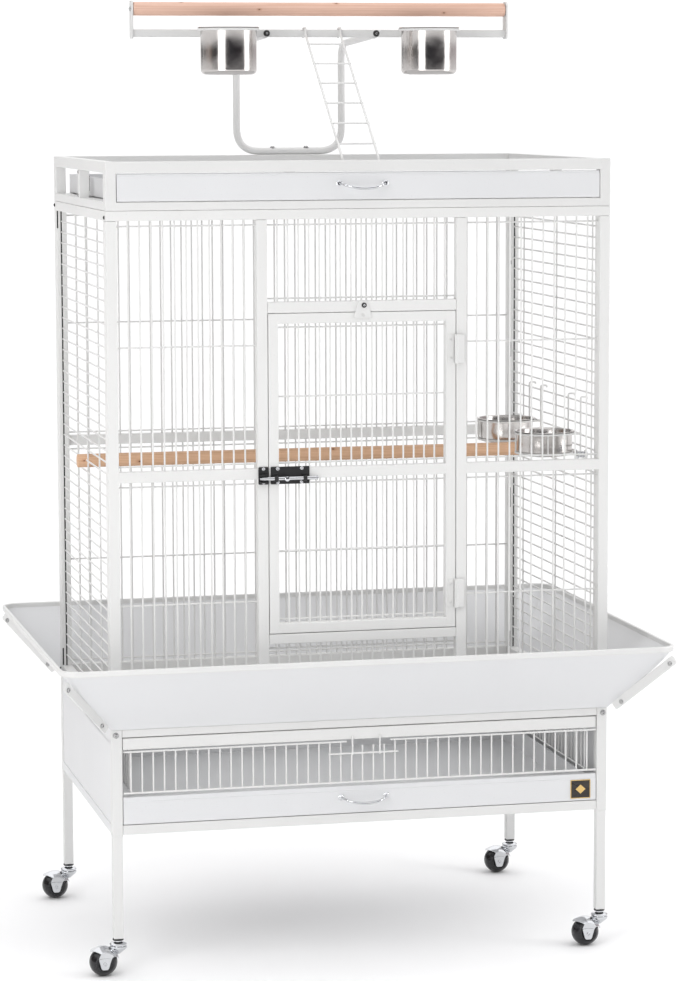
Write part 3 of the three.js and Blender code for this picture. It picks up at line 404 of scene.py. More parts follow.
COAT = powder_coat("powder_coat", (0.74, 0.74, 0.732))
COAT_WIRE = powder_coat("powder_coat_wire", (0.76, 0.76, 0.75), 0.96)
COAT_SHEET = powder_coat("powder_coat_sheet", (0.72, 0.725, 0.735), 0.97)
STAINLESS = metal("stainless_cup", (0.60, 0.575, 0.56), (0.13, 0.24), (1, 1, 40), 300)
CHROME = metal("bright_chrome", (0.66, 0.67, 0.69), (0.06, 0.16), (3, 3, 3), 500)
ZINC = metal("zinc_bolt", (0.50, 0.50, 0.50), (0.22, 0.38), (2, 2, 8), 700, 0.1)
GOLD = metal("gold_rim", (0.72, 0.50, 0.20), (0.2, 0.34), (2, 2, 2), 500)
BLACK_STEEL = gloss_black("black_latch_steel", (0.012, 0.012, 0.013), (0.3, 0.5), 600)
BLACK_BALL = gloss_black("black_wheel_plastic", (0.010, 0.010, 0.012), (0.14, 0.34), 250)
ENAMEL = gloss_black("plate_enamel", (0.022, 0.017, 0.014), (0.25, 0.4), 500)
# Near-black used as painted shade: plates in the gaps and holes of the rear stiles and beside the upper
# drawer. The same material also colours some small bolts and the turn tab's washer.
SLOT_DARK = gloss_black("slot_shadow", (0.03, 0.03, 0.03), (0.5, 0.7), 500)
PERCH_TOP_Z = sum(cad("top_perch"))[2] / 2
PERCH_TOP_Y = sum(cad("top_perch"))[1] / 2
PERCH_IN_Z = sum(cad("inner_perch"))[2] / 2
PERCH_IN_Y = sum(cad("inner_perch"))[1] / 2
PINE_TOP = pine(
    "pine_top_perch",
    (0.80, 0.545, 0.44),
    (0.70, 0.43, 0.32),
    [
        ((-0.118, PERCH_TOP_Y - 0.0118, PERCH_TOP_Z - 0.001), 0.0017),
        ((0.028, PERCH_TOP_Y - 0.006, PERCH_TOP_Z + 0.011), 0.0022),
        ((0.232, PERCH_TOP_Y - 0.0105, PERCH_TOP_Z - 0.006), 0.0015),
        ((-0.262, PERCH_TOP_Y - 0.004, PERCH_TOP_Z + 0.0115), 0.002),
    ],
    (PERCH_TOP_Y + 0.016, PERCH_TOP_Z - 0.022),
)
PINE_IN = pine(
    "pine_inner_perch",
    (0.71, 0.465, 0.31),
    (0.60, 0.345, 0.20),
    [
        ((-0.349, PERCH_IN_Y - 0.0118, PERCH_IN_Z - 0.003), 0.0024),
        ((-0.452, PERCH_IN_Y - 0.0118, PERCH_IN_Z + 0.001), 0.0018),
        ((0.018, PERCH_IN_Y - 0.008, PERCH_IN_Z + 0.0095), 0.0026),
        ((0.262, PERCH_IN_Y - 0.0105, PERCH_IN_Z - 0.0065), 0.0018),
    ],
    (PERCH_IN_Y - 0.011, PERCH_IN_Z + 0.024),
)


# ---- small hardware ----
def bolt(at, out, radius=4.2 * MM):
    """A washer and a domed head with a socket sunk in its top, standing out along a direction."""
    at, out = np.asarray(at, float), np.asarray(out, float)
    washer = turned(
        [(radius * 0.5, 0), (radius * 1.3, 0), (radius * 1.3, 0.5 * MM), (radius * 0.5, 0.5 * MM)], at, out,
        20
    )
    dome = [
        (radius, 0.3 * MM), (radius, radius * 0.35), (radius * 0.86, radius * 0.62),
        (radius * 0.6, radius * 0.75)
    ]
    socket = [(radius * 0.46, radius * 0.75), (radius * 0.42, radius * 0.3), (radius * 0.1, radius * 0.28)]
    return [washer, turned([(radius * 0.9, 0), *dome, *socket], at, out, 12)]


def rosette(at, out, radius):
    """A turned foot: a flange, a waist and a bead."""
    profile = [
        (radius, 0), (radius, 0.5), (radius * 0.82, 0.9), (radius * 0.7, 1.6), (radius * 0.78, 2.2),
        (radius * 0.6, 3)
    ]
    return turned([(r * MM, h * MM) for r, h in profile], at, out, 24)


def put_bolts(name, places, body="frame", material=None, radius=4.2 * MM):
    """Several bolts as one piece: places is a list of (point, direction)."""
    make(name, [s for at, out in places for s in bolt(at, out, radius)], material or ZINC, body)


# ---- wire runs ----
def evenly(start, stop, pitch):
    """Where the wires stand between two edges: n = round(span / pitch) equal gaps, one wire between each
    two."""
    n = max(1, round((stop - start) / pitch))
    return start + (stop - start) / n * np.arange(1, n)


def uprights(xs, y, z0, z1, radius=WIRE):
    """Upright wires at each x, in the plane of one y."""
    xs = np.asarray(xs, float)
    low = np.stack([xs, np.full(len(xs), y), np.full(len(xs), z0)], 1)
    return rods(low, low + [0, 0, z1 - z0], radius)


def crossings(x0, x1, y, zs, radius=WIRE):
    """Level wires along X at each z, in the plane of one y."""
    zs = np.asarray(zs, float)
    low = np.stack([np.full(len(zs), x0), np.full(len(zs), y), zs], 1)
    return rods(low, low + [x1 - x0, 0, 0], radius)


PITCH, DOOR_PITCH = 20.2 * MM, 19.4 * MM
CROSS_FRONT = np.array([1327.3, 1116, 907, 871, 661, 469]) * MM
CROSS_BACK = np.array([1327.3, 1122, 912, 879.5, 666, 469]) * MM
BEHIND = 2 * WIRE - 0.5 * MM

# ---- stand ----
STAND_Z = cad("stand_lower_rail")[0][2]
for end, sy in ENDS.items():
    for side, sx in SIDES.items():
        node = f"leg_{end}_{side}"
        low, high = cad(node)
        seam = STAND_Z - 2 * MM
        slim = np.array([0.8 * MM, 0.8 * MM, 0])
        upper = bar([low[0], low[1], seam], high)
        lower = bar(low + slim, [high[0] - slim[0], high[1] - slim[1], seam + 14 * MM])
        collar = bar([low[0] + slim[0] * 0.5, low[1] + slim[1] * 0.5, seam - 1.6 * MM],
                     [high[0] - slim[0] * 0.5, high[1] - slim[1] * 0.5, seam + 2 * MM], 2)
        make(f"{node}_tube", [upper, lower, collar], COAT, "frame", [node])

for side, sx in SIDES.items():
    node = f"stand_side_{side}"
    low, high = cad(node)
    outer = sx * (HALF_W - 1.6 * MM)
    skin = plate([outer, low[1], low[2] + 4 * MM], [outer - sx * 1.2 * MM, high[1], high[2]], 0)
    rail = bar([sx * IN_X, low[1], low[2]], [sx * HALF_W, high[1], low[2] + 17 * MM])
    hem = bar(
        [outer + sx * 0.3 * MM, low[1], high[2] - 9 * MM], [outer - sx * 2 * MM, high[1], high[2] - 0.5 * MM],
        1, 0.8 * MM
    )
    ledges = []
    for z in (cad("lower_drawer")[0][2] - 1.2 * MM, cad("floor_grate")[0][2] - 1.2 * MM):
        ledges.append(plate([outer, low[1], z - 1.5 * MM], [sx * (IN_X - 14 * MM), high[1], z], 2))
        ledges.append(
            plate([sx * (IN_X - 14 * MM), low[1], z - 5 * MM], [sx * (IN_X - 12.6 * MM), high[1], z], 0)
        )
    make(f"{node}_sheet", [skin, rail, hem, *ledges], COAT_SHEET, "frame", [node])

low, high = cad("stand_back_panel")
back_sheet = plate([low[0], WIRE_Y, low[2] + 2 * MM], [high[0], WIRE_Y + 1.2 * MM, high[2] - 2 * MM], 1)
back_rails = [
    bar([low[0], IN_Y, low[2]], [high[0], HALF_D, low[2] + 17 * MM]),
    bar([low[0], IN_Y, high[2] - 14 * MM], high)
]
make("stand_back_sheet", [back_sheet, *back_rails], COAT_SHEET, "frame", ["stand_back_panel"])
for node in ("stand_lower_rail", "stand_upper_rail"):
    make(f"{node}_tube", [bar(*cad(node))], COAT, "frame", [node])

stand_bolts = [((sx * (HALF_W - 8 * MM), FRONT, 0.4335), -Y) for sx in SIDES.values()]
stand_bolts += [((sx * (HALF_W - 8 * MM), HALF_D, 0.4335), Y) for sx in SIDES.values()]
put_bolts("stand_corner_bolts", stand_bolts)

# ---- seed guard ----
GUARD_LOW, GUARD_HIGH = cad("apron_right")
REACH = GUARD_HIGH[0] - HALF_W
GUARD_Z, LIP_Z = GUARD_LOW[2], GUARD_HIGH[2]
LIP = 11 * MM
BEND = 32 * MM
CORNERS = ((1, 1), (-1, 1), (-1, -1), (1, -1))


def round_the_cage(out, up, bend, per_corner=7, per_side=31):
    """One ring at the foot's outline moved out: each corner is centre + bend (cos a, sin a), and the sides
    run straight between."""
    arcs = []
    for k, (sx, sy) in enumerate(CORNERS):
        a = np.linspace(k, k + 1, per_corner) * np.pi / 2
        centre = np.array([sx * (HALF_W + out - bend), sy * (HALF_D + out - bend)])
        arcs.append(centre + bend * np.stack([np.cos(a), np.sin(a)], 1))
    ring = []
    for k in range(4):
        share = np.linspace(0, 1, per_side)[1:-1, None]
        ring += [arcs[k], arcs[k][-1] + share * (arcs[(k + 1) % 4][0] - arcs[k][-1])]
    ring = np.concatenate(ring)
    return np.concatenate([ring, np.full((len(ring), 1), GUARD_Z + up)], 1)


def guard_skin():
    """The flared guard: out = (REACH - 3 mm) s, up = rise s, corner radius = 0.6 mm + 31 mm s^5, 1.2 mm
    thick, gently dented."""
    rise = LIP_Z - LIP * 0.6 - GUARD_Z
    rings = []
    for s, at in [(s, 0.6 * MM) for s in np.linspace(0, 1, 15)] + [
        (s, -0.6 * MM) for s in np.linspace(1, 0, 15)
    ]:
        out = max((REACH - 3 * MM) * s + at * 0.742, 0.15 * MM)
        ring = round_the_cage(out, rise * s - at * 0.67, 0.6 * MM + (BEND - 1 * MM) * s**5)
        dent = 0.4 * MM * np.sin(np.pi * s) * np.sin(ring[:, 0] * 11 + 1.3) * np.sin(ring[:, 1] * 9 + 0.4)
        rings.append(ring + dent[:, None] * np.array([0.0, 0.0, 1.0]))
    return loft(np.stack(rings, 1), closed=True)


foot_flange = [
    bar([-HALF_W, s * HALF_D, GUARD_Z], [HALF_W, s * (HALF_D + 1.4 * MM), GUARD_Z + 9 * MM], 0, 0.5 * MM)
    for s in (-1, 1)
]
foot_flange += [
    bar([s * HALF_W, -HALF_D, GUARD_Z], [s * (HALF_W + 1.4 * MM), HALF_D, GUARD_Z + 9 * MM], 1, 0.5 * MM)
    for s in (-1, 1)
]
make("seed_guard_sheets", [guard_skin(), *foot_flange], COAT_SHEET, "frame",
     ["apron_front", "apron_back", "apron_left", "apron_right"])

lip_rings = [round_the_cage(REACH - 3 * MM + a, LIP_Z - LIP / 2 - GUARD_Z + b, BEND + a, 11, 3)
             for a, b in outline_of(3 * MM, LIP / 2, 2.4 * MM)]
make("apron_rolled_lip", [loft(np.stack(lip_rings, 1), closed=True)], COAT, "frame")

fins, fin_bolts = [], []
for sx, sy in CORNERS:
    foot = np.array([sx * HALF_W, sy * HALF_D, GUARD_Z])
    crease = np.array([sx * (REACH - 3 * MM), sy * (REACH - 3 * MM), LIP_Z - LIP - GUARD_Z])
    length = np.linalg.norm(crease)
    crease /= length
    diagonal = np.array([sx, sy, 0]) / math.sqrt(2)
    down = diagonal * crease[2] - Z * np.dot(crease, diagonal)
    normal = np.cross(crease, down)
    flat = outline_of((length - 24 * MM) / 2, 8.2 * MM, 4.5 * MM, 5) + [length / 2 + 1 * MM, 6.8 * MM]
    for side in (-1, 1):
        fins.append(slab(flat, foot + normal * (side * 0.75 - 0.6) * MM, crease, down, 1.2 * MM))
        for at in (31 * MM, length - 24 * MM):
            fin_bolts.append(
                (foot + crease * at + down * 8.4 * MM + normal * side * 1.35 * MM, normal * side)
            )
make("apron_corner_fins", fins, COAT, "frame")
put_bolts("apron_corner_bolts", fin_bolts, radius=3.5 * MM)

# ---- drawers ----
def drawer_shells(node, back, wall, lip):
    """A drawer: a folded face with a step under its top edge, and a pan of thin sheet behind it."""
    low, high = cad(node)
    high[1] = cad(back)[1][1]
    x0, x1 = low[0] + 7 * MM, high[0] - 7 * MM
    floor_z = low[2] + 0.8 * MM
    y0 = low[1] + 11 * MM
    face = [
        bar([low[0], low[1], low[2]], [high[0], low[1] + 11.5 * MM, high[2] - lip], 0),
        bar([low[0], low[1] + 0.9 * MM, high[2] - lip - 1.0 * MM], [high[0], low[1] + 12 * MM, high[2]], 0),
    ]
    pan = [
        plate([x0, y0, low[2]], [x1, high[1], floor_z + 0.6 * MM], 2),
        plate([x0, y0, low[2]], [x0 + 1.4 * MM, high[1], low[2] + wall], 0),
        plate([x1 - 1.4 * MM, y0, low[2]], [x1, high[1], low[2] + wall], 0),
        plate([x0, high[1] - 1.4 * MM, low[2]], [x1, high[1], low[2] + wall], 1),
    ]
    hems = [
        rods([x + s * 1.0 * MM, y0, low[2] + wall], [x + s * 1.0 * MM, high[1], low[2] + wall], 1.5 * MM)
        for x, s in ((x0, 1), (x1, -1))
    ]
    hems.append(rods([x0, high[1] - 1 * MM, low[2] + wall], [x1, high[1] - 1 * MM, low[2] + wall], 1.5 * MM))
    return face + pan + hems


def bow_handle(node):
    """A bow handle: y = -reach (1 - s^4) and z = -sag (1 - s^2) for s from -1 to 1, thickest in the middle,
    on two turned feet."""
    low, high = cad(node)
    half = (high[0] - low[0]) / 2 - 5.6 * MM
    z = high[2] - 5.6 * MM
    foot = FRONT - 2.6 * MM
    s = np.linspace(-1, 1, 41)
    y = foot - (foot - low[1] - 2.6 * MM) * (1 - s**4)
    path = np.stack([half * s, y, z - 8.2 * MM * (1 - s**2)], 1)
    radius = (1.7 + 1.1 * (1 - s**2)) * MM
    beads = [
        turned(
            [
                (0.3 * MM, -2 * MM), (2.6 * MM, -1.2 * MM), (3.1 * MM, 0), (2.6 * MM, 1.2 * MM),
                (0.3 * MM, 2 * MM)
            ],
            [sx * half * 0.8, foot - (foot - low[1] - 2.6 * MM) * (1 - 0.8**4), z - 8.2 * MM * 0.36], X, 16
        )
        for sx in (-1, 1)
    ]
    feet = [rosette([sx * half, FRONT - 0.1 * MM, z], -Y, 5.4) for sx in (-1, 1)]
    return [swept(path, radius, 14), *beads, *feet]


for node, back, wall, lip in (
    ("lower_drawer", "lower_drawer_pan", 40 * MM, 8 * MM), ("upper_drawer", "upper_drawer", 34 * MM, 3 * MM)
):
    make(
        f"{node}_tray", drawer_shells(node, back, wall, lip), COAT_SHEET, node,
        sorted({node, back})
    )
    make(f"{node}_bow", bow_handle(f"{node}_handle"), CHROME, node, [f"{node}_handle"])

low, high = cad("lower_drawer")
badge = np.array([[388, 276.5], [426, 311]]) * MM
make(
    "badge_rim",
    [
        plate(
            [badge[0][0], low[1] - 1.1 * MM, badge[0][1]], [badge[1][0], low[1] - 0.1 * MM, badge[1][1]], 1,
            1 * MM
        )
    ],
    GOLD, "lower_drawer"
)
make(
    "badge_enamel",
    [
        plate(
            [badge[0][0] + 1.4 * MM, low[1] - 1.4 * MM, badge[0][1] + 1.4 * MM],
            [badge[1][0] - 1.4 * MM, low[1] - 0.6 * MM, badge[1][1] - 1.4 * MM], 1, 0.8 * MM
        )
    ],
    ENAMEL, "lower_drawer"
)
u0, v0 = (badge[0] + badge[1]) / 2
diamond = [(9.5 * MM, 0), (0, 8.5 * MM), (-9.5 * MM, 0), (0, -8.5 * MM)]
make(
    "badge_diamond", [slab(diamond[::-1], [u0, low[1] - 1.3 * MM, v0], X, Z, 0.5 * MM, 0.15 * MM)], GOLD,
    "lower_drawer"
)

# ---- pull-out grate: strip, fence with a hand notch, side fences, level grille ----
low, high = cad("grate_bar")
FENCE_Y = low[1] + 2.0 * MM
strip_low = high[2] - 21 * MM
TOP_WIRE, NOTCH_WIRE, STUB, LOW_WIRE = 402.6 * MM, 381 * MM, 395 * MM, low[2] + 1.6 * MM
x_edge = high[0]
first = -1.3 * MM
fence_x = first + 20.05 * MM * np.arange(-21, 22)
fence_x = fence_x[np.abs(fence_x) < x_edge - 6 * MM]
posts = (fence_x > -0.025) & (fence_x < -0.018)
stubs = (fence_x > -0.005) & (fence_x < 0.042)
fence = [
    bar([low[0], low[1] + 1 * MM, strip_low], [high[0], high[1], high[2]], 0),
    uprights(fence_x[~posts & ~stubs], FENCE_Y, LOW_WIRE, TOP_WIRE, 1.5 * MM),
    uprights(fence_x[stubs], FENCE_Y, LOW_WIRE, STUB, 1.5 * MM),
    uprights(fence_x[posts], FENCE_Y, LOW_WIRE, NOTCH_WIRE, 1.5 * MM),
    rods(
        [[low[0] + 1 * MM, FENCE_Y - 2.2 * MM, LOW_WIRE]], [[x_edge - 1 * MM, FENCE_Y - 2.2 * MM, LOW_WIRE]],
        1.9 * MM
    ),
    rods(
        [[low[0] + 1 * MM, FENCE_Y - 2.0 * MM, TOP_WIRE]], [[-0.031, FENCE_Y - 2.0 * MM, TOP_WIRE]], 1.7 * MM
    ),
    rods(
        [[0.050, FENCE_Y - 2.0 * MM, TOP_WIRE]], [[x_edge - 1 * MM, FENCE_Y - 2.0 * MM, TOP_WIRE]], 1.7 * MM
    ),
    rods([[-0.064, FENCE_Y - 2.6 * MM, NOTCH_WIRE]], [[0.064, FENCE_Y - 2.6 * MM, NOTCH_WIRE]], 1.7 * MM),
    uprights([-0.0205, 0.030], FENCE_Y - 3.6 * MM, NOTCH_WIRE - 3 * MM, strip_low + 6 * MM, 1.6 * MM)
]
make("grate_strip_and_fence", fence, COAT_WIRE, "floor_grate", ["grate_bar"])

low, high = cad("floor_grate")
GRATE_Z = (low[2] + high[2]) / 2
ys = np.array([low[1] + 3 * MM, *np.linspace(low[1] + 96 * MM, high[1] - 96 * MM, 4), high[1] - 3 * MM])
xs = evenly(low[0] + 3 * MM, high[0] - 3 * MM, PITCH)
grille = [
    rods(
        np.stack([xs, np.full(len(xs), low[1] + 1 * MM), np.full(len(xs), GRATE_Z)], 1),
        np.stack([xs, np.full(len(xs), high[1] - 1 * MM), np.full(len(xs), GRATE_Z)], 1)
    ),
    rods(
        [[low[0] + 2 * MM, y, GRATE_Z - BEHIND] for y in ys],
        [[high[0] - 2 * MM, y, GRATE_Z - BEHIND] for y in ys]
    ),
    rods(
        [[x, low[1] + 1 * MM, GRATE_Z] for x in (low[0] + 2 * MM, high[0] - 2 * MM)],
        [[x, high[1] - 1 * MM, GRATE_Z] for x in (low[0] + 2 * MM, high[0] - 2 * MM)], 2.2 * MM
    )
]
side_x = high[0] - 15.5 * MM
side_ys = low[1] + 6 * MM + PITCH * np.arange(28)
for sx in (-1, 1):
    feet = np.stack([np.full(len(side_ys), sx * side_x), side_ys, np.full(len(side_ys), LOW_WIRE)], 1)
    grille.append(rods(feet, feet + [0, 0, GRATE_Z - LOW_WIRE], 1.4 * MM))
    for z in (LOW_WIRE, TOP_WIRE):
        grille.append(
            rods(
                [[sx * (side_x - 2.4 * MM), side_ys[0] - 4 * MM, z]],
                [[sx * (side_x - 2.4 * MM), side_ys[-1] + 4 * MM, z]], 1.5 * MM
            )
        )
make("floor_grille_wires", grille, COAT_WIRE, "floor_grate", ["floor_grate"])

# ---- cage walls ----
low, high = cad("front_section_right")
CAGE_Z, POST_TOP, JAMB_X = low[2], high[2], low[0]
RAIL_Z = RIDGE_Z - 17.5 * MM
MID_Z = 880 * MM
BOTTOM = CAGE_Z + 17.5 * MM


def tube_x(x0, x1, y0, y1, z0, z1):
    return bar([x0, y0, z0], [x1, y1, z1], 0)


def tube_z(x0, x1, y0, y1, z0, z1):
    return bar([x0, y0, z0], [x1, y1, z1], 2)


jamb_out = JAMB_X + TUBE
right_section = [
    tube_z(IN_X, HALF_W, FRONT, -IN_Y, CAGE_Z, POST_TOP),
    tube_z(JAMB_X, jamb_out, FRONT, -IN_Y, CAGE_Z, POST_TOP),
    tube_x(jamb_out - 1 * MM, IN_X + 1 * MM, FRONT, -IN_Y, MID_Z, MID_Z + TUBE),
    tube_x(jamb_out - 1 * MM, IN_X + 1 * MM, FRONT, -IN_Y, CAGE_Z, BOTTOM),
    uprights(evenly(jamb_out, IN_X, PITCH), -WIRE_Y, BOTTOM - 4 * MM, RAIL_Z + 4 * MM),
    crossings(jamb_out - 2 * MM, IN_X + 2 * MM, -WIRE_Y + BEHIND, CROSS_FRONT),
]
make("front_section_right_welded", right_section, COAT_WIRE, "frame", ["front_section_right"])
make(
    "front_section_left_welded", mirrored(right_section, 0), COAT_WIRE, "frame",
    ["front_section_left"]
)

low, high = cad("panel_under_door")
door_xs = evenly(low[0], high[0], DOOR_PITCH)
HEADER_Z = cad("front_top_rail")[0][2]
over = [
    tube_x(low[0], high[0], FRONT, -IN_Y, HEADER_Z, HEADER_Z + TUBE),
    tube_x(-HALF_W, HALF_W, FRONT, -IN_Y, RAIL_Z, RIDGE_Z),
    uprights(door_xs, -WIRE_Y, HEADER_Z + 10 * MM, RAIL_Z + 4 * MM),
    crossings(low[0], high[0], -WIRE_Y + BEHIND, [HEADER_Z + TUBE + 6 * MM, CROSS_FRONT[0]]),
]
make("top_rail_and_over_door", over, COAT_WIRE, "frame", ["front_top_rail"])

low, high = cad("panel_under_door")
SILL = high[2] - 17.5 * MM
under = [
    tube_x(low[0], high[0], FRONT, -IN_Y, SILL, high[2]),
    tube_x(low[0], high[0], FRONT, -IN_Y, low[2], low[2] + 17.5 * MM),
    uprights(door_xs, -WIRE_Y, low[2] + 10 * MM, SILL + 4 * MM),
    crossings(low[0], high[0], -WIRE_Y + BEHIND, [SILL - 9 * MM, low[2] + 26 * MM]),
]
make("under_door_welded", under, COAT_WIRE, "frame", ["panel_under_door"])

SIDE_UPRIGHTS = {"right": (197, -19, -240), "left": (121, 3, -132)}
for side, sx in SIDES.items():
    low, high = cad(f"side_wall_{side}")
    y0, y1 = low[1], high[1]
    zs = evenly(BOTTOM, RAIL_Z, PITCH)
    x_wire = sx * WIRE_X
    stile = 10 * MM
    span = np.stack([np.full(len(zs), x_wire), np.full(len(zs), y0 + 4 * MM), zs], 1)
    ys = np.array(SIDE_UPRIGHTS[side]) * MM
    inner = np.stack([np.full(len(ys), x_wire - sx * BEHIND), ys, np.full(len(ys), BOTTOM - 4 * MM)], 1)
    shells = [
        bar([sx * IN_X, y0, low[2]], [sx * HALF_W, y1, BOTTOM], 1),
        bar([sx * IN_X, y0, RAIL_Z], [sx * HALF_W, y1, high[2]], 1),
        bar([sx * IN_X, y0, BOTTOM - 2 * MM], [sx * HALF_W, y0 + stile, RAIL_Z + 2 * MM], 2),
        bar(
            [sx * (HALF_W - 7.4 * MM), y1 - stile, BOTTOM - 2 * MM],
            [sx * HALF_W, y1 - 1.2 * MM, RAIL_Z + 2 * MM], 2
        ),
        bar(
            [sx * IN_X, y1 - stile, BOTTOM - 2 * MM],
            [sx * (HALF_W - 10 * MM), y1 - 1.2 * MM, RAIL_Z + 2 * MM], 2
        ),
        rods(span, span + [0, y1 - y0 - 8 * MM, 0]), rods(inner, inner + [0, 0, RAIL_Z - BOTTOM + 8 * MM])
    ]
    make(f"side_wall_{side}_welded", shells, COAT_WIRE, "frame", [f"side_wall_{side}"])

low, high = cad("back_wall")
BACK_MID = 887 * MM
back = [
    tube_z(-HALF_W, -IN_X, IN_Y, HALF_D, low[2], high[2]),
    tube_z(IN_X, HALF_W, IN_Y, HALF_D, low[2], high[2]),
    tube_x(-IN_X - 1 * MM, IN_X + 1 * MM, IN_Y, HALF_D, BACK_MID, BACK_MID + TUBE),
    tube_x(-IN_X - 1 * MM, IN_X + 1 * MM, IN_Y, HALF_D, RAIL_Z, high[2]),
    tube_x(-IN_X - 1 * MM, IN_X + 1 * MM, IN_Y, HALF_D, low[2], BOTTOM),
    uprights(evenly(-IN_X, IN_X, PITCH), WIRE_Y, BOTTOM - 4 * MM, RAIL_Z + 4 * MM),
    crossings(-IN_X - 2 * MM, IN_X + 2 * MM, WIRE_Y - BEHIND, CROSS_BACK),
]
make("back_wall_welded", back, COAT_WIRE, "frame", ["back_wall"])

low, high = cad("roof_grille")
roof_z = (low[2] + high[2]) / 2
xs = evenly(low[0] + 3 * MM, high[0] - 3 * MM, PITCH)
ys = np.linspace(low[1] + 3 * MM, high[1] - 3 * MM, 6)
roof = [
    rods(
        np.stack([xs, np.full(len(xs), low[1] + 1 * MM), np.full(len(xs), roof_z)], 1),
        np.stack([xs, np.full(len(xs), high[1] - 1 * MM), np.full(len(xs), roof_z)], 1)
    ),
    rods(
        [[low[0] + 1 * MM, y, roof_z + BEHIND] for y in ys],
        [[high[0] - 1 * MM, y, roof_z + BEHIND] for y in ys]
    ),
    rods(
        [[x, low[1] + 1 * MM, roof_z] for x in (low[0] + 2.2 * MM, high[0] - 2.2 * MM)],
        [[x, high[1] - 1 * MM, roof_z] for x in (low[0] + 2.2 * MM, high[0] - 2.2 * MM)], 2.2 * MM
    )
]
make("roof_grille_wires", roof, COAT_WIRE, "frame", ["roof_grille"])

# Painted shade: thin near-black plates set in the gap between the two profiles of each rear stile, the length
# of the wall, and short ones at a few listed holes and gaps along the stiles. They stand in for shade, not
# for parts.
stile_y = cad("side_wall_left")[1][1] - 10 * MM
painted_shade_plates = [
    plate(
        [sx * (HALF_W - 10.2 * MM), stile_y + 2.2 * MM, BOTTOM],
        [sx * (HALF_W - 7.2 * MM), stile_y + 3 * MM, RAIL_Z], 1
    )
    for sx in (-1, 1)
]
for x, z0, z1 in (
    (-0.4556, 1.3034, 1.3366), (-0.4552, 0.462, 0.4956), (0.4405, 0.741, 0.781), (0.4405, 1.040, 1.070),
    (0.4405, 1.222, 1.230), (0.4405, 0.462, 0.494)
):
    painted_shade_plates.append(
        plate(
            [x - 1.3 * MM, stile_y - 0.2 * MM, z0], [x + 1.3 * MM, stile_y + 0.5 * MM, z1], 1, 1.2 * MM,
            0.1 * MM
        )
    )
make("rear_stile_painted_shade_plates", painted_shade_plates, SLOT_DARK, "frame")
# Painted shade: a thin near-black plate at each side of the upper drawer, where the gap between it and the
# box shows dark.
make(
    "box_drawer_painted_shade_plate",
    [
        plate(
            [sx * (IN_X - 8.4 * MM), 0.0405, 1.3806], [sx * (IN_X - 7.6 * MM), 0.0445, 1.4080], 0, 1.5 * MM,
            0.1 * MM
        )
        for sx in (-1, 1)
    ],
    SLOT_DARK, "upper_drawer"
)
wall_bolts = []
for sx in (-1, 1):
    wall_bolts += [
        ((sx * HALF_W, FRONT + 14 * MM, 1.343), X * sx), ((sx * HALF_W, HALF_D - 7 * MM, 1.347), X * sx)
    ]
    wall_bolts += [((sx * HALF_W, y, 0.452), X * sx) for y in (FRONT + 8 * MM, HALF_D - 8 * MM)]
    wall_bolts += [((sx * (HALF_W - 7 * MM), HALF_D, z), Y) for z in (0.452, 1.3455)]
put_bolts("wall_corner_bolts", wall_bolts, material=SLOT_DARK, radius=2.9 * MM)

# ---- door, hinges, latch and turn tab ----
low, high = cad("door")
stile = 18 * MM
door_low, door_high = low[2], high[2]
half = high[0]
door_shells = [
    tube_z(-half, -half + stile, FRONT, -IN_Y, door_low, door_high),
    tube_z(half - stile, half, FRONT, -IN_Y, door_low, door_high),
    tube_x(-half + stile - 1 * MM, half - stile + 1 * MM, FRONT, -IN_Y, door_low, door_low + stile),
    tube_x(-half + stile - 1 * MM, half - stile + 1 * MM, FRONT, -IN_Y, door_high - stile, door_high),
    tube_x(-half + stile - 1 * MM, half - stile + 1 * MM, FRONT, -IN_Y, MID_Z, MID_Z + TUBE),
    uprights(evenly(-half + stile, half - stile, DOOR_PITCH), -WIRE_Y, door_low + 8 * MM, door_high - 8 * MM),
    crossings(
        -half + stile - 2 * MM, half - stile + 2 * MM, -WIRE_Y + BEHIND,
        np.array([1147, 1025, 907, 871, 750, 628]) * MM
    )
]
hinge_screws = []
for name in ("upper", "lower"):
    h_low, h_high = cad(f"hinge_{name}")
    leaf_x = half - 14 * MM
    door_shells.append(
        plate([leaf_x, FRONT - 2 * MM, h_low[2]], [half - 4 * MM, FRONT + 0.5 * MM, h_high[2]], 1, 1.5 * MM)
    )
    hinge_screws += [
        ((leaf_x + 4.4 * MM, FRONT - 2 * MM, z), -Y) for z in (h_low[2] + 10 * MM, h_high[2] - 10 * MM)
    ]
    axis_x, axis_y = h_low[0] + 4.2 * MM, h_low[1] + 4.2 * MM
    profile = [(3.0, -0.6), (4.0, 0)]
    length = (h_high[2] - h_low[2]) / MM
    for k in range(1, 5):
        at = length * k / 5
        profile += [(4.2, at - length / 5 + 0.8), (4.2, at - 0.8), (3.7, at - 0.2), (3.7, at + 0.2)]
    profile += [(4.2, length * 0.8 + 0.8), (4.2, length - 0.6), (3.0, length)]
    barrel = turned([(r * MM, h * MM) for r, h in profile], [axis_x, axis_y, h_low[2]], Z, 24)
    cover = bar(
        [axis_x + 1.5 * MM, h_low[1] + 1.2 * MM, h_low[2] + 0.5 * MM],
        [h_high[0], h_high[1] - 0.05 * MM, h_high[2] - 0.5 * MM], 2, 1.4 * MM
    )
    make(f"hinge_{name}_barrel", [barrel, cover], COAT, "frame", [f"hinge_{name}"])
make("door_welded", door_shells, COAT_WIRE, "door", ["door"])
put_bolts("door_hinge_screws", hinge_screws, "door", COAT, 2.2 * MM)

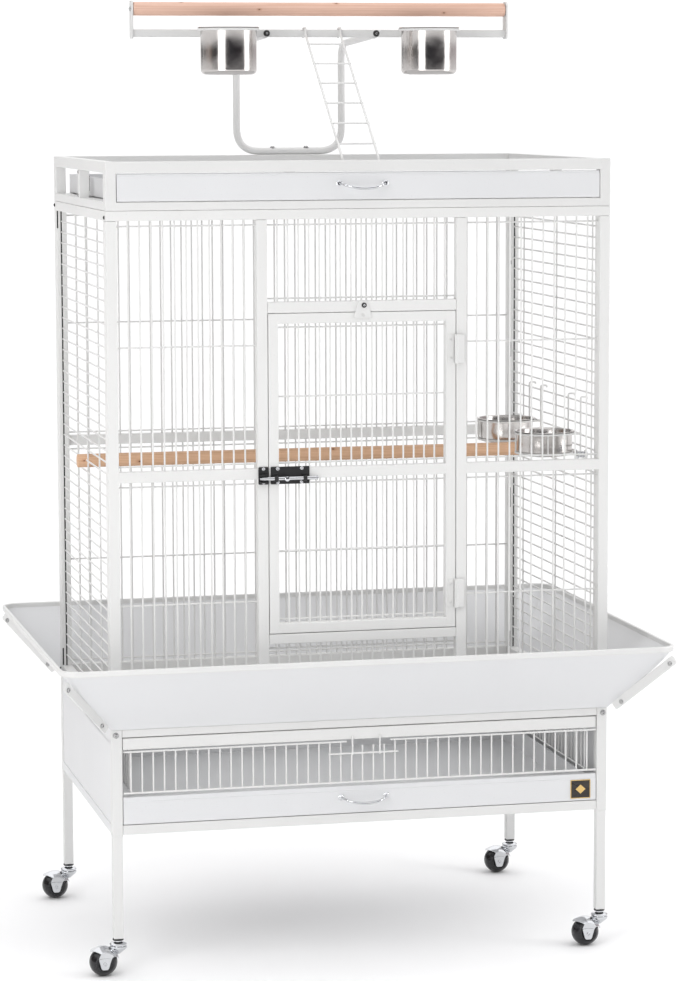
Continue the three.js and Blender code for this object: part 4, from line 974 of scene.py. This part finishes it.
def rod_loop(x0, x1, radius, back):
    """A strap bent over the bolt: a half ring of the given radius between x0 and x1 whose two ends run back
    to the plate."""
    a = np.linspace(-0.5, 0.5, 13) * np.pi
    front = np.stack([shaft_y - radius * np.cos(a), shaft_z + radius * np.sin(a)], 1)
    line = np.concatenate([[[back, shaft_z - radius]], front, [[back, shaft_z + radius]]])
    thick = np.array([[0, -1.1], *np.stack([-1.1 * np.cos(a), 1.1 * np.sin(a)], 1), [0, 1.1]]) * MM
    outer = [np.stack([np.full(len(line), x), *(line + thick).T], 1) for x in (x0, x1)]
    inner = [np.stack([np.full(len(line), x), *line.T], 1) for x in (x0, x1)]
    return sheet(outer, inner)


low, high = cad("latch_base")
bolt_low, bolt_high = cad("latch_bolt")
shaft_z, shaft_y = (bolt_low[2] + bolt_high[2]) / 2, bolt_high[1] - 3.4 * MM
back_y = high[1]
latch_mid = (low[2] + high[2]) / 2
base = [plate([low[0], back_y - 2 * MM, low[2]], [high[0], back_y, high[2]], 1, 1.6 * MM)]
for x0 in (low[0] + 5 * MM, high[0] - 13 * MM):
    for s in (-1, 1):
        base.append(
            bar(
                [x0, back_y - 3.4 * MM, shaft_z + s * 4.6 * MM],
                [x0 + 8 * MM, back_y - 1 * MM, shaft_z + s * 8.4 * MM], 0, 0.6 * MM
            )
        )
make("latch_plate", base, BLACK_STEEL, "door", ["latch_base"])
loops = [
    rod_loop(x0, x0 + 6.5 * MM, 4.1 * MM, back_y - 1.6 * MM)
    for x0 in (low[0] + 5.8 * MM, high[0] - 12.2 * MM)
]
make("latch_loops", loops, BLACK_STEEL, "door")
rivets = [
    ((x, back_y - 2 * MM, latch_mid + s * 12.2 * MM), -Y) for x in (low[0] + 12.5 * MM, high[0] - 14 * MM)
    for s in (-1, 1)
]
put_bolts("latch_rivets", rivets, "door", CHROME, 2.5 * MM)

span = np.linspace(bolt_low[0], bolt_high[0], 34)
shaft = swept(
    np.stack([span, np.full(34, shaft_y), np.full(34, shaft_z)], 1),
    np.array([1.9, 2.9, *[3.35] * 30, 2.9, 1.6]) * MM, 20
)
knob_x = (low[0] + high[0]) / 2 - 8 * MM
knob_end = shaft_y - bolt_low[1]
stem = [
    (0.8, 2), (2.7, 2), (2.5, 5.5), (3.4, 6.6), (4.5, 7.6), (4.7, 9), (4.3, 10.2), (3.0, 10.9), (0.8, 11.1)
]
knob = turned(
    [(r * MM, h * MM * knob_end / (11.0 * MM)) for r, h in stem], [knob_x, shaft_y, shaft_z], -Y, 24
)
collar = [(2.4 * MM, -1 * MM), (4.0 * MM, -0.8 * MM), (4.0 * MM, 0.8 * MM), (2.4 * MM, 1 * MM)]
ring = turned(collar, [bolt_high[0] - 2.4 * MM, shaft_y, shaft_z], X, 20)
make("latch_chrome_bolt", [shaft, knob, ring], CHROME, "latch_bolt", ["latch_bolt"])

low, high = cad("latch_keeper")
keeper_mid = (low[0] + high[0]) / 2
keeper = [plate([low[0], high[1] - 2 * MM, low[2]], [high[0], high[1], high[2]], 1, 2 * MM)]
for s in (-1, 1):
    keeper.append(
        bar(
            [low[0] + 2 * MM, low[1], shaft_z + s * 4.8 * MM],
            [high[0] - 2 * MM, high[1] - 1.5 * MM, shaft_z + s * 7.6 * MM], 0, 1.0 * MM
        )
    )
make("latch_keeper_channel", keeper, BLACK_STEEL, "frame", ["latch_keeper"])
put_bolts(
    "keeper_rivets", [((keeper_mid, high[1] - 2 * MM, latch_mid + s * 12.2 * MM), -Y) for s in (-1, 1)],
    "frame", CHROME, 2.3 * MM
)

low, high = cad("turn_tab")
t_low, t_high = low[2], high[2]
mid = (low[0] + high[0]) / 2
tab_outline = bent(
    [
        [mid, t_low, 0], [mid + 17 * MM, t_low, 0], [mid + 8.4 * MM, t_high, 0], [mid - 8.4 * MM, t_high, 0],
        [mid - 17 * MM, t_low, 0], [mid, t_low, 0]
    ],
    [0, 4.5 * MM, 7 * MM, 7 * MM, 4.5 * MM, 0]
)[1:-1, :2]
tab = [slab(tab_outline, [0, high[1] - 0.1 * MM, 0], X, Z, 1.8 * MM, 0.4 * MM)]
make("turn_tab_plate", tab, COAT, "turn_tab", ["turn_tab"])
put_bolts(
    "turn_tab_washer", [((mid + 2 * MM, high[1] - 2 * MM, t_high - 8.4 * MM), -Y)], "turn_tab", SLOT_DARK,
    3.6 * MM
)
put_bolts(
    "turn_tab_screw", [((mid + 2 * MM, high[1] - 3.9 * MM, t_high - 8.4 * MM), -Y)], "turn_tab", CHROME,
    2.1 * MM
)
put_bolts("turn_tab_pin", [((mid, high[1] - 2 * MM, t_low + 6 * MM), -Y)], "turn_tab", COAT, 2.7 * MM)

# ---- play-top box ----
BOX_Z, BOX_TOP = cad("box_front")[0][2], cad("box_front")[1][2]
LOWER_RAIL, UPPER_RAIL = BOX_Z + 14.5 * MM, BOX_TOP - 19.5 * MM
for end, sy in ENDS.items():
    y0, y1 = (FRONT, -IN_Y) if sy < 0 else (IN_Y, HALF_D)
    shells = [
        tube_z(-HALF_W, -IN_X, y0, y1, BOX_Z, BOX_TOP),
        tube_z(IN_X, HALF_W, y0, y1, BOX_Z, BOX_TOP),
        tube_x(-IN_X - 1 * MM, IN_X + 1 * MM, y0, y1, BOX_Z, LOWER_RAIL),
        tube_x(-IN_X - 1 * MM, IN_X + 1 * MM, y0, y1, UPPER_RAIL, BOX_TOP),
    ]
    if sy > 0:
        shells.append(tube_z(-TUBE / 2, TUBE / 2, y0, y1, LOWER_RAIL - 1 * MM, UPPER_RAIL + 1 * MM))
    make(f"box_{end}_tubes", shells, COAT, "frame", [f"box_{end}"])

box_bolts = []
for side, sx in SIDES.items():
    low, high = cad(f"box_{side}")
    y0, y1 = low[1], high[1]
    x0, x1 = sx * IN_X, sx * HALF_W
    shells = [
        bar([x0, y0, BOX_Z], [x1, y1, LOWER_RAIL], 1),
        bar([x0, y0, UPPER_RAIL], [x1, y1, BOX_TOP], 1),
        bar([x0, -TUBE / 2, LOWER_RAIL - 1 * MM], [x1, TUBE / 2, UPPER_RAIL + 1 * MM], 2),
        bar([x0, y0, LOWER_RAIL - 1 * MM], [x1, y0 + 6 * MM, UPPER_RAIL + 1 * MM], 2),
        bar([x0, y1 - 6 * MM, LOWER_RAIL - 1 * MM], [x1, y1, UPPER_RAIL + 1 * MM], 2),
        plate([sx * (IN_X - 14 * MM), y0, LOWER_RAIL - 1.5 * MM], [sx * (IN_X + 1 * MM), y1, LOWER_RAIL], 2),
    ]
    make(f"box_{side}_tubes", shells, COAT, "frame", [f"box_{side}"])
    box_bolts += [((sx * HALF_W, 0, z), X * sx) for z in (LOWER_RAIL + 4 * MM, UPPER_RAIL - 4 * MM)]
put_bolts("box_side_screws", box_bolts, radius=2.6 * MM)

# ---- play stand ----
low, high = cad("hoop")
leg_x = high[0] - 6.8 * MM
hoop_y = high[1] - 6.8 * MM
run_z = low[2] + 6.8 * MM
arm_y, arm_z, leg_top = low[1], high[2] - 7 * MM, high[2] - 19.6 * MM
corners = [[-leg_x, arm_y, arm_z], [-leg_x, hoop_y, leg_top], [-leg_x, hoop_y, run_z]]
corners += [[-x, y, z] for x, y, z in corners[::-1]]
hoop_path = bent(corners, [0, 36 * MM, 44 * MM, 44 * MM, 36 * MM, 0], 12)
make("hoop_tube", [swept(hoop_path, 6.8 * MM, 20)], COAT, "frame", ["hoop"])
put_bolts("hoop_bolts", [((x, hoop_y, run_z + 6.4 * MM), Z) for x in (-33 * MM, 33 * MM)], radius=4.2 * MM)

low, high = cad("play_bar")
bar_box = [low[0] + 4 * MM, high[0] - 4 * MM]
bar_y = (low[1] + high[1]) / 2
BAR_LOW = low[2] + 3 * MM
stand_bar = [
    bar(
        [bar_box[0] - 1 * MM, bar_y - 7 * MM, BAR_LOW],
        [bar_box[1] + 1 * MM, bar_y + 7 * MM, BAR_LOW + 14 * MM], 0, 1.6 * MM
    )
]
plate_mid = (low[2] + high[2]) / 2
for sx, x in ((-1, low[0]), (1, high[0])):
    flat = outline_of(12 * MM, (high[2] - low[2]) / 2, 6 * MM, 6)
    stand_bar.append(slab(flat, [x if sx < 0 else x - 3.4 * MM, bar_y, plate_mid], Y, Z, 3.4 * MM, 0.5 * MM))
make("play_bar_tube", stand_bar, COAT, "frame", ["play_bar"])
bar_bolts = [((sx * leg_x, bar_y - 7 * MM, BAR_LOW + 7 * MM), -Y) for sx in (-1, 1)]
put_bolts("play_bar_bolts", bar_bolts, material=SLOT_DARK, radius=4.6 * MM)
put_bolts(
    "play_bar_nuts", [(np.array(at) + [0, -1.9 * MM, 0], out) for at, out in bar_bolts], radius=2.4 * MM
)
end_screws = [((x, bar_y, PERCH_TOP_Z), X * sx) for sx, x in ((-1, low[0]), (1, high[0]))]
put_bolts("perch_end_screws", end_screws, radius=3.6 * MM)


def dowel(node, seed):
    """A turned wooden perch: radius wanders by a fifth of a millimetre, r(x) = r0 + sum of slow sines, with
    eased ends."""
    low, high = cad(node)
    radius = (high[2] - low[2]) / 2
    x = np.linspace(low[0], high[0], 90)
    phase = np.random.default_rng(seed).uniform(0, 6.28, 3)
    wander = sum(0.07 * MM * np.sin(x * f + p) for f, p in zip((19, 43, 87), phase))
    centre = (low + high) / 2
    path = np.stack([x, np.full(90, centre[1]), np.full(90, centre[2])], 1)
    path = np.concatenate(
        [[path[0]], path[:1] + [[1.2 * MM, 0, 0]], path[1:-1], path[-1:] - [[1.2 * MM, 0, 0]], [path[-1]]]
    )
    size = np.concatenate(
        [
            [radius - 1.3 * MM], radius + wander[:1], radius + wander[1:-1], radius + wander[-1:],
            [radius - 1.3 * MM]
        ]
    )
    return swept(path, size, 40)


make("top_perch_dowel", [dowel("top_perch", 3)], PINE_TOP, "frame", ["top_perch"])
make("inner_perch_dowel", [dowel("inner_perch", 8)], PINE_IN, "frame", ["inner_perch"])

low, high = cad("ladder")
wire = 2.2 * MM
back_y, front_y = bar_y + 7 * MM + 0.4 * MM + wire, bar_y - 7 * MM - 0.4 * MM - wire
foot_y, top_z = low[1] + wire, high[2] - wire
foot_z, slope_z = BOX_TOP + 3 * MM, BAR_LOW + 5 * MM
rails = []
rail_xs = (low[0] + wire, high[0] - wire)
for x in rail_xs:
    line = [[x, back_y, slope_z - 6 * MM], [x, back_y, top_z], [x, front_y, top_z], [x, front_y, slope_z],
            [x, foot_y, foot_z], [x, foot_y, low[2] + 0.4 * MM]]
    rails.append(swept(bent(line, [0, 4 * MM, 4 * MM, 6 * MM, 5 * MM, 0]), wire * 0.95, 12))
run = math.hypot(foot_y - front_y, foot_z - slope_z)
for k in range(6):
    t = (30 + 59 * k) * MM / run
    at = np.array([0, front_y + (foot_y - front_y) * t - wire * 0.7, slope_z + (foot_z - slope_z) * t])
    rails.append(
        rods([[rail_xs[0] - 2.5 * MM, at[1], at[2]]], [[rail_xs[1] + 2.5 * MM, at[1], at[2]]], 1.7 * MM, 12)
    )
make("ladder_wires", rails, COAT_WIRE, "ladder", ["ladder"])


# ---- cups and their holders ----
def cup_profile(radius, depth, rim):
    """A pressed cup: wall, a rounded foot of 8 mm, a slight step above it, and a rolled rim; then the same
    inside, 0.9 mm in."""
    foot, t = 9 * MM, 0.9 * MM
    a = np.linspace(-np.pi / 2, 0, 9)
    outer = [(0.3 * MM, 0), (radius - foot - 6 * MM, 0), (radius - foot - 3 * MM, 0.6 * MM)]
    outer += [(radius - foot + foot * math.cos(x), foot + foot * math.sin(x) + 0.3 * MM) for x in a]
    outer += [
        (radius + 0.2 * MM, depth * 0.5), (radius + 0.2 * MM, depth - 4 * MM),
        (radius + 0.9 * MM, depth - 1.6 * MM)
    ]
    lip = [
        (radius + rim - 0.8 * MM, depth - 1.4 * MM), (radius + rim, depth - 0.8 * MM),
        (radius + rim - 0.5 * MM, depth - 0.1 * MM), (radius + rim * 0.5, depth),
        (radius + 0.6 * MM, depth - 0.4 * MM), (radius - t, depth - 2.4 * MM)
    ]
    inner = [(radius - t, foot + 2 * MM)]
    inner += [
        (radius - foot + (foot - t) * math.cos(x), foot + (foot - t) * math.sin(x) + 0.3 * MM)
        for x in a[::-1]
    ]
    inner += [(0.3 * MM, t + 0.4 * MM)]
    return outer + lip + inner


def wire_ring(centre, radius, thickness, sides=56):
    """A wire bent round into a closed hoop."""
    t = np.linspace(0, 2 * np.pi, 13)[:-1]
    section = np.stack([radius + thickness * np.cos(t), thickness * np.sin(t)], 1)
    return turned(section, centre, Z, sides, closed=True)


for side in SIDES:
    low, high = cad(f"top_cup_{side}")
    centre = (low + high) / 2
    at = [centre[0], centre[1], low[2]]
    make(
        f"top_cup_{side}_bowl", [turned(cup_profile(51 * MM, high[2] - low[2], 5.5 * MM), at, Z, 72)],
        STAINLESS, f"top_cup_{side}", [f"top_cup_{side}"]
    )
    low, high = cad(f"top_cup_holder_{side}")
    rim_z = high[2] - 2.6 * MM
    reach = high[1]
    shells = [wire_ring([centre[0], centre[1], rim_z], 54 * MM, 2.4 * MM)]
    shells.append(
        plate(
            [centre[0] - 11 * MM, reach - 1.8 * MM, high[2] - 16 * MM], [centre[0] + 11 * MM, reach, high[2]],
            1, 2 * MM
        )
    )
    for s in (-1, 1):
        start = [centre[0] + s * 8 * MM, centre[1] + 53 * MM, rim_z]
        shells.append(
            swept(
                bent(
                    [
                        start, [start[0], reach - 1.5 * MM, rim_z],
                        [start[0], reach - 1.5 * MM, rim_z - 9 * MM]
                    ],
                    3 * MM
                ),
                2 * MM, 10
            )
        )
    make(f"top_cup_{side}_ring", shells, COAT, "frame", [f"top_cup_holder_{side}"])

for name in ("rear", "front"):
    low, high = cad(f"inner_cup_{name}")
    centre = (low + high) / 2
    at = [centre[0], centre[1], low[2]]
    make(
        f"inner_cup_{name}_bowl", [turned(cup_profile(51 * MM, high[2] - low[2], 5.5 * MM), at, Z, 72)],
        STAINLESS, f"inner_cup_{name}", [f"inner_cup_{name}"]
    )
    low, high = cad(f"inner_cup_holder_{name}")
    rim_z = cad(f"inner_cup_{name}")[1][2] - 4.4 * MM
    wall_x = high[0] - 1.6 * MM
    shells = [
        wire_ring([centre[0], centre[1], rim_z], 54 * MM, 2 * MM),
        wire_ring([centre[0], centre[1], rim_z - 36 * MM], 53.4 * MM, 1.9 * MM)
    ]
    for angle in np.radians([100, 180, 260]):
        foot = np.array(
            [centre[0] + 55 * MM * math.cos(angle), centre[1] + 55 * MM * math.sin(angle), rim_z - 36 * MM]
        )
        shells.append(rods([foot], [foot + [0, 0, 36 * MM]], 1.6 * MM, 10))
    for s in (-1, 1):
        y = centre[1] + s * 38 * MM
        hook = [
            [centre[0] + 38 * MM, y, rim_z], [wall_x, y, rim_z], [wall_x, y, high[2] - 1 * MM],
            [wall_x + 12 * MM, y, high[2] - 1 * MM], [wall_x + 12 * MM, y, high[2] - 5 * MM]
        ]
        shells.append(swept(bent(hook, [0, 4 * MM, 3 * MM, 3 * MM, 0]), 1.7 * MM, 10))
        shells.append(rods([[wall_x, y, rim_z]], [[wall_x, y, rim_z - 36 * MM]], 1.7 * MM, 10))
    shells.append(
        rods(
            [[wall_x, centre[1] - 40 * MM, rim_z - 34 * MM]],
            [[wall_x, centre[1] + 40 * MM, rim_z - 34 * MM]], 1.7 * MM, 10
        )
    )
    shells.append(
        rods([[wall_x, centre[1] - 40 * MM, rim_z]], [[wall_x, centre[1] + 40 * MM, rim_z]], 1.7 * MM, 10)
    )
    make(f"inner_cup_{name}_basket", shells, COAT_WIRE, "frame", [f"inner_cup_holder_{name}"])

# A sprung clamp on the right wall beside the front cup: coils of radius 5 mm, a plate and a wing nut.
clamp_y, clamp_z = -0.236, 0.9005
turn = np.linspace(0, 2 * np.pi * 6, 150)
coil = np.stack(
    [
        IN_X - 4 * MM - turn / turn[-1] * 16 * MM, clamp_y + 5 * MM * np.cos(turn),
        clamp_z + 5 * MM * np.sin(turn)
    ],
    1
)
wings = [
    slab(
        outline_of(7 * MM, 4 * MM, 3 * MM), [IN_X - 22 * MM, clamp_y + s * 9 * MM, clamp_z + s * 2 * MM], Y,
        Z, 1.6 * MM
    )
    for s in (-1, 1)
]
washers = [
    turned([(2 * MM, 0), (9 * MM, 0), (9 * MM, 1 * MM), (2 * MM, 1 * MM)], [x, clamp_y, clamp_z], X, 24)
    for x in (IN_X - 3 * MM, IN_X - 21 * MM)
]
stud = rods([[IN_X - 24 * MM, clamp_y, clamp_z]], [[IN_X + 12 * MM, clamp_y, clamp_z]], 2 * MM, 12)
make("wall_clamp_spring", [swept(coil, 0.8 * MM, 8), *washers, stud, *wings], CHROME, "frame")

# ---- casters ----
def hood_shells(axle, stem):
    """The hood: r(w) = sqrt(R^2 - w^2) about the axle between two angles that close in towards the sides,
    its free tip flared."""
    w = np.linspace(-1, 1, 27)[None, :]
    s = np.linspace(0, 1, 37)[:, None]
    first = 8 + 30 * np.abs(w) ** 1.3
    last = 140 - 28 * np.abs(w) ** 1.3
    phi = np.radians(first + (last - first) * s)
    flare = 2.6 * MM * np.clip((s - 0.78) / 0.22, 0, 1) ** 2 * np.clip(1 - (w / 0.75) ** 2, 0, 1)
    grids = []
    for radius in (28.8 * MM, 27.4 * MM):
        reach = np.sqrt(radius**2 - (w * 20.4 * MM) ** 2) + flare
        grids.append(
            np.stack(
                [
                    axle[0] + reach * np.cos(phi), axle[1] + w * 20.4 * MM + 0 * phi,
                    axle[2] + reach * np.sin(phi)
                ],
                -1
            )
        )
    shells = [sheet(*grids)]
    cheek = np.array(
        [
            [0, -10], [5, -9], [8.5, -2], [12.5, 9.5], [15.5, 12.6], [6, 19.2], [-2, 20], [-7.6, 18.6],
            [-11, 9.5], [-8, -2], [-5, -9]
        ]
    ) * MM
    shield = bent(
        [
            [0, -10.5, 0], [6, -10.5, 0], [11.5, 9.4, 0], [0, 9.9, 0], [-11.5, 9.4, 0], [-6, -10.5, 0],
            [0, -10.5, 0]
        ],
        [0, 5, 3, 1, 3, 5, 0]
    )[1:-1, :2] * MM
    for side in (-1, 1):
        for flat, at, thick in ((cheek, 20.0, 0.9), (shield, 20.9, 1.3)):
            y = axle[1] + side * (at + (thick if side > 0 else 0)) * MM
            shells.append(slab(flat, [axle[0], y, axle[2]], X, Z, thick * MM, 0.25 * MM))
        rivet = [(1.5, 0.9), (1.7, 1.6), (2.6, 1.5), (3.3, 0.7), (3.3, -0.5), (1.5, -0.5)]
        shells.append(
            turned(
                [(r * MM, h * MM) for r, h in rivet], [axle[0], axle[1] + side * 22.1 * MM, axle[2]],
                Y * side, 20, closed=True
            )
        )
    shells.append(
        rods(
            [[axle[0], axle[1] - 22.4 * MM, axle[2]]], [[axle[0], axle[1] + 22.4 * MM, axle[2]]], 1.5 * MM, 16
        )
    )
    plates = [
        (3.2, 38), (5, 39.4), (9, 43), (13.4, 46.6), (15.2, 49), (15.3, 51.6), (14.6, 52.3), (12, 52.5),
        (12, 53.7), (14.8, 54), (15.3, 55), (15.2, 56.6), (14, 57.8), (10.4, 59), (7.4, 59.7), (6.4, 60.2),
        (6.4, 62.2), (5, 62.4), (5, 66.4)
    ]
    shells.append(turned([(r * MM, h * MM) for r, h in plates], [stem[0], stem[1], 0], Z, 36))
    flat = outline_of(13.6 * MM, 10 * MM, 6 * MM, 5)
    shells.append(slab(flat, [stem[0] - 13 * MM, stem[1], 45.2 * MM], X, Y, 3.6 * MM, 0.4 * MM))
    return shells


def wheel_shell(axle):
    """The ball wheel: r(w) = sqrt(R^2 - w^2) between flat ends, with a mould groove at the middle and dished
    sides round a bore."""
    ws = np.concatenate([np.linspace(-19.2, -0.8, 16), [-0.4, 0.4], np.linspace(0.8, 19.2, 16)])
    reach = np.sqrt(25.0**2 - ws**2) - 0.35 * (np.abs(ws) < 0.5)
    side = [(3.4, -17.2), (7, -17.2), (10.5, -18.4), (13.8, -19.6)]
    profile = [*side, *zip(reach, ws), *[(r, -w) for r, w in side[::-1]]]
    return turned([(r * MM, w * MM) for r, w in profile], axle, Y, 64, closed=True)


for end, sy in ENDS.items():
    for side, sx in SIDES.items():
        name = f"{end}_{side}"
        stem = np.array([sx * (HALF_W - TUBE / 2), sy * (HALF_D - TUBE / 2), 0])
        axle = stem + [-27 * MM, 0, 25 * MM]
        make(
            f"caster_{name}_hood", hood_shells(axle, stem), CHROME, f"caster_hood_{name}",
            [f"caster_hood_{name}"]
        )
        make(
            f"caster_{name}_wheel", [wheel_shell(axle)], BLACK_BALL, f"caster_ball_{name}",
            [f"caster_ball_{name}"], 50
        )
        plug = turned(
            [
                (r * MM, h * MM)
                for r, h in (
                    (6.6, 62.6), (9.6, 62.8), (10.0, 63.6), (10.0, 65.2), (9.4, 65.9), (8.2, 66), (8.2, 70),
                    (6.6, 70)
                )
            ],
            [stem[0], stem[1], 0], Z, 28, closed=True
        )
        make(f"leg_{name}_plug", [plug], BLACK_STEEL, "frame")

# ---- studio ----
camera_data = bpy.data.cameras.new("photo_camera")
camera_data.lens, camera_data.sensor_width = 120.45, 36.0
camera_data.clip_start, camera_data.clip_end = 0.1, 200
camera = bpy.data.objects.new("photo_camera", camera_data)
yaw, pitch, roll = 0.23070, -0.11897, -0.00299
ahead = Vector((math.sin(yaw) * math.cos(pitch), math.cos(yaw) * math.cos(pitch), math.sin(pitch)))
right = Vector((math.cos(yaw), -math.sin(yaw), 0))
upward = right.cross(ahead)
across = math.cos(roll) * right + math.sin(roll) * upward
upward = -math.sin(roll) * right + math.cos(roll) * upward
placed = Matrix((across, upward, -ahead)).transposed().to_4x4()
placed.translation = Vector((-1.36548, -5.93537, 1.5475))
camera.matrix_world = placed
bpy.context.scene.collection.objects.link(camera)
bpy.context.scene.camera = camera

bpy.context.scene.view_settings.view_transform = "Standard"

floor_recipe = Recipe("studio_floor", Roughness=0.9, Specular_IOR_Level=0.1)
floor_recipe.wire(
    floor_recipe.mix(floor_recipe.noise(3, 3), (0.92, 0.92, 0.92, 1), (0.95, 0.95, 0.95, 1)), "Base Color"
)
t = np.linspace(0, 2 * np.pi, 65)[:-1]
ring = np.stack([80 * np.cos(t), 70 + 80 * np.sin(t), 0 * t], 1)
verts, faces = loft([ring - [0, 0, 0.3], ring])
floor_mesh = bpy.data.meshes.new("studio_floor")
floor_mesh.from_pydata(verts.tolist(), [], faces)
floor_mesh.materials.append(floor_recipe.material)
floor = bpy.data.objects.new("studio_floor", floor_mesh)
bpy.context.scene.collection.objects.link(floor)

world = bpy.data.worlds.new("studio_surround")
bpy.context.scene.world = world
world.use_nodes = True
tree = world.node_tree
background = tree.nodes["Background"]
background.inputs["Color"].default_value = (1.0, 1.0, 1.0, 1)
coordinates = tree.nodes.new("ShaderNodeTexCoord")
split = tree.nodes.new("ShaderNodeSeparateXYZ")
tree.links.new(coordinates.outputs["Generated"], split.inputs[0])


def world_node(kind, inputs, **settings):
    """A node of the world's tree with its inputs set or joined."""
    node = tree.nodes.new(kind)
    for key, value in settings.items():
        setattr(node, key, value)
    for key, value in inputs.items():
        if isinstance(value, bpy.types.NodeSocket):
            tree.links.new(value, node.inputs[key])
        else:
            node.inputs[key].default_value = value
    return node


# Round the horizon: degrees from the front towards the left, and the colour seen there. The camera looks at
# about -167.
HORIZON = [
    (-180, (1.12, 1.12, 1.12)), (-147, (1.12, 1.12, 1.12)), (-139, (0.56, 0.51, 0.52)),
    (-84, (0.50, 0.46, 0.47)), (-79, (0.06, 0.055, 0.055)), (-52, (0.035, 0.03, 0.035)),
    (26, (0.03, 0.03, 0.035)), (57, (0.05, 0.05, 0.055)), (82, (0.07, 0.06, 0.055)),
    (90, (0.22, 0.155, 0.115)), (113, (0.20, 0.145, 0.11)), (120, (0.10, 0.09, 0.085)),
    (132, (0.12, 0.11, 0.11)), (136, (0.75, 0.73, 0.71)), (140, (0.08, 0.08, 0.08)),
    (160, (0.08, 0.08, 0.08)), (169, (1.12, 1.12, 1.12)), (180, (1.12, 1.12, 1.12))
]
leftward = world_node("ShaderNodeMath", {0: split.outputs[0], 1: -1.0}, operation="MULTIPLY").outputs[0]
frontward = world_node("ShaderNodeMath", {0: split.outputs[1], 1: -1.0}, operation="MULTIPLY").outputs[0]
heading = world_node("ShaderNodeMath", {0: leftward, 1: frontward}, operation="ARCTAN2").outputs[0]
share = world_node(
    "ShaderNodeMath", {0: heading, 1: 1 / (2 * math.pi), 2: 0.5}, operation="MULTIPLY_ADD"
).outputs[0]
ramp = world_node("ShaderNodeValToRGB", {0: share})
stops = ramp.color_ramp.elements
while len(stops) < len(HORIZON):
    stops.new(0.5)
for stop, (degrees, colour) in zip(stops, HORIZON):
    stop.position = degrees / 360 + 0.5
    stop.color = (*colour, 1)
lift = world_node(
    "ShaderNodeMapRange",
    {"Value": split.outputs[2], "From Min": 0.40, "From Max": 0.62, "To Min": 0.0, "To Max": 1.0},
    interpolation_type="SMOOTHSTEP"
).outputs[0]
dome = world_node(
    "ShaderNodeMix", {0: lift, 6: ramp.outputs[0], 7: (1.45, 1.45, 1.46, 1)}, data_type="RGBA"
).outputs[2]
tree.links.new(dome, background.inputs["Color"])
background.inputs["Strength"].default_value = 1.0


def softbox(name, degrees, distance, middle_z, size, power):
    """A tall rectangular lamp: it stands at (-d sin a, -d cos a), a degrees from the front towards the left,
    and faces the cage."""
    data = bpy.data.lights.new(name, "AREA")
    data.shape, data.size, data.size_y, data.energy = "RECTANGLE", size[0], size[1], power
    lamp = bpy.data.objects.new(name, data)
    a = math.radians(degrees)
    lamp.location = (-distance * math.sin(a), -distance * math.cos(a), middle_z)
    lamp.rotation_euler = (math.pi / 2, 0, -a)
    bpy.context.scene.collection.objects.link(lamp)


softbox("key_softbox", 41, 3.9, 1.62, (1.75, 2.7), 52)
softbox("fill_softbox", -67, 3.9, 1.62, (1.45, 2.7), 44)
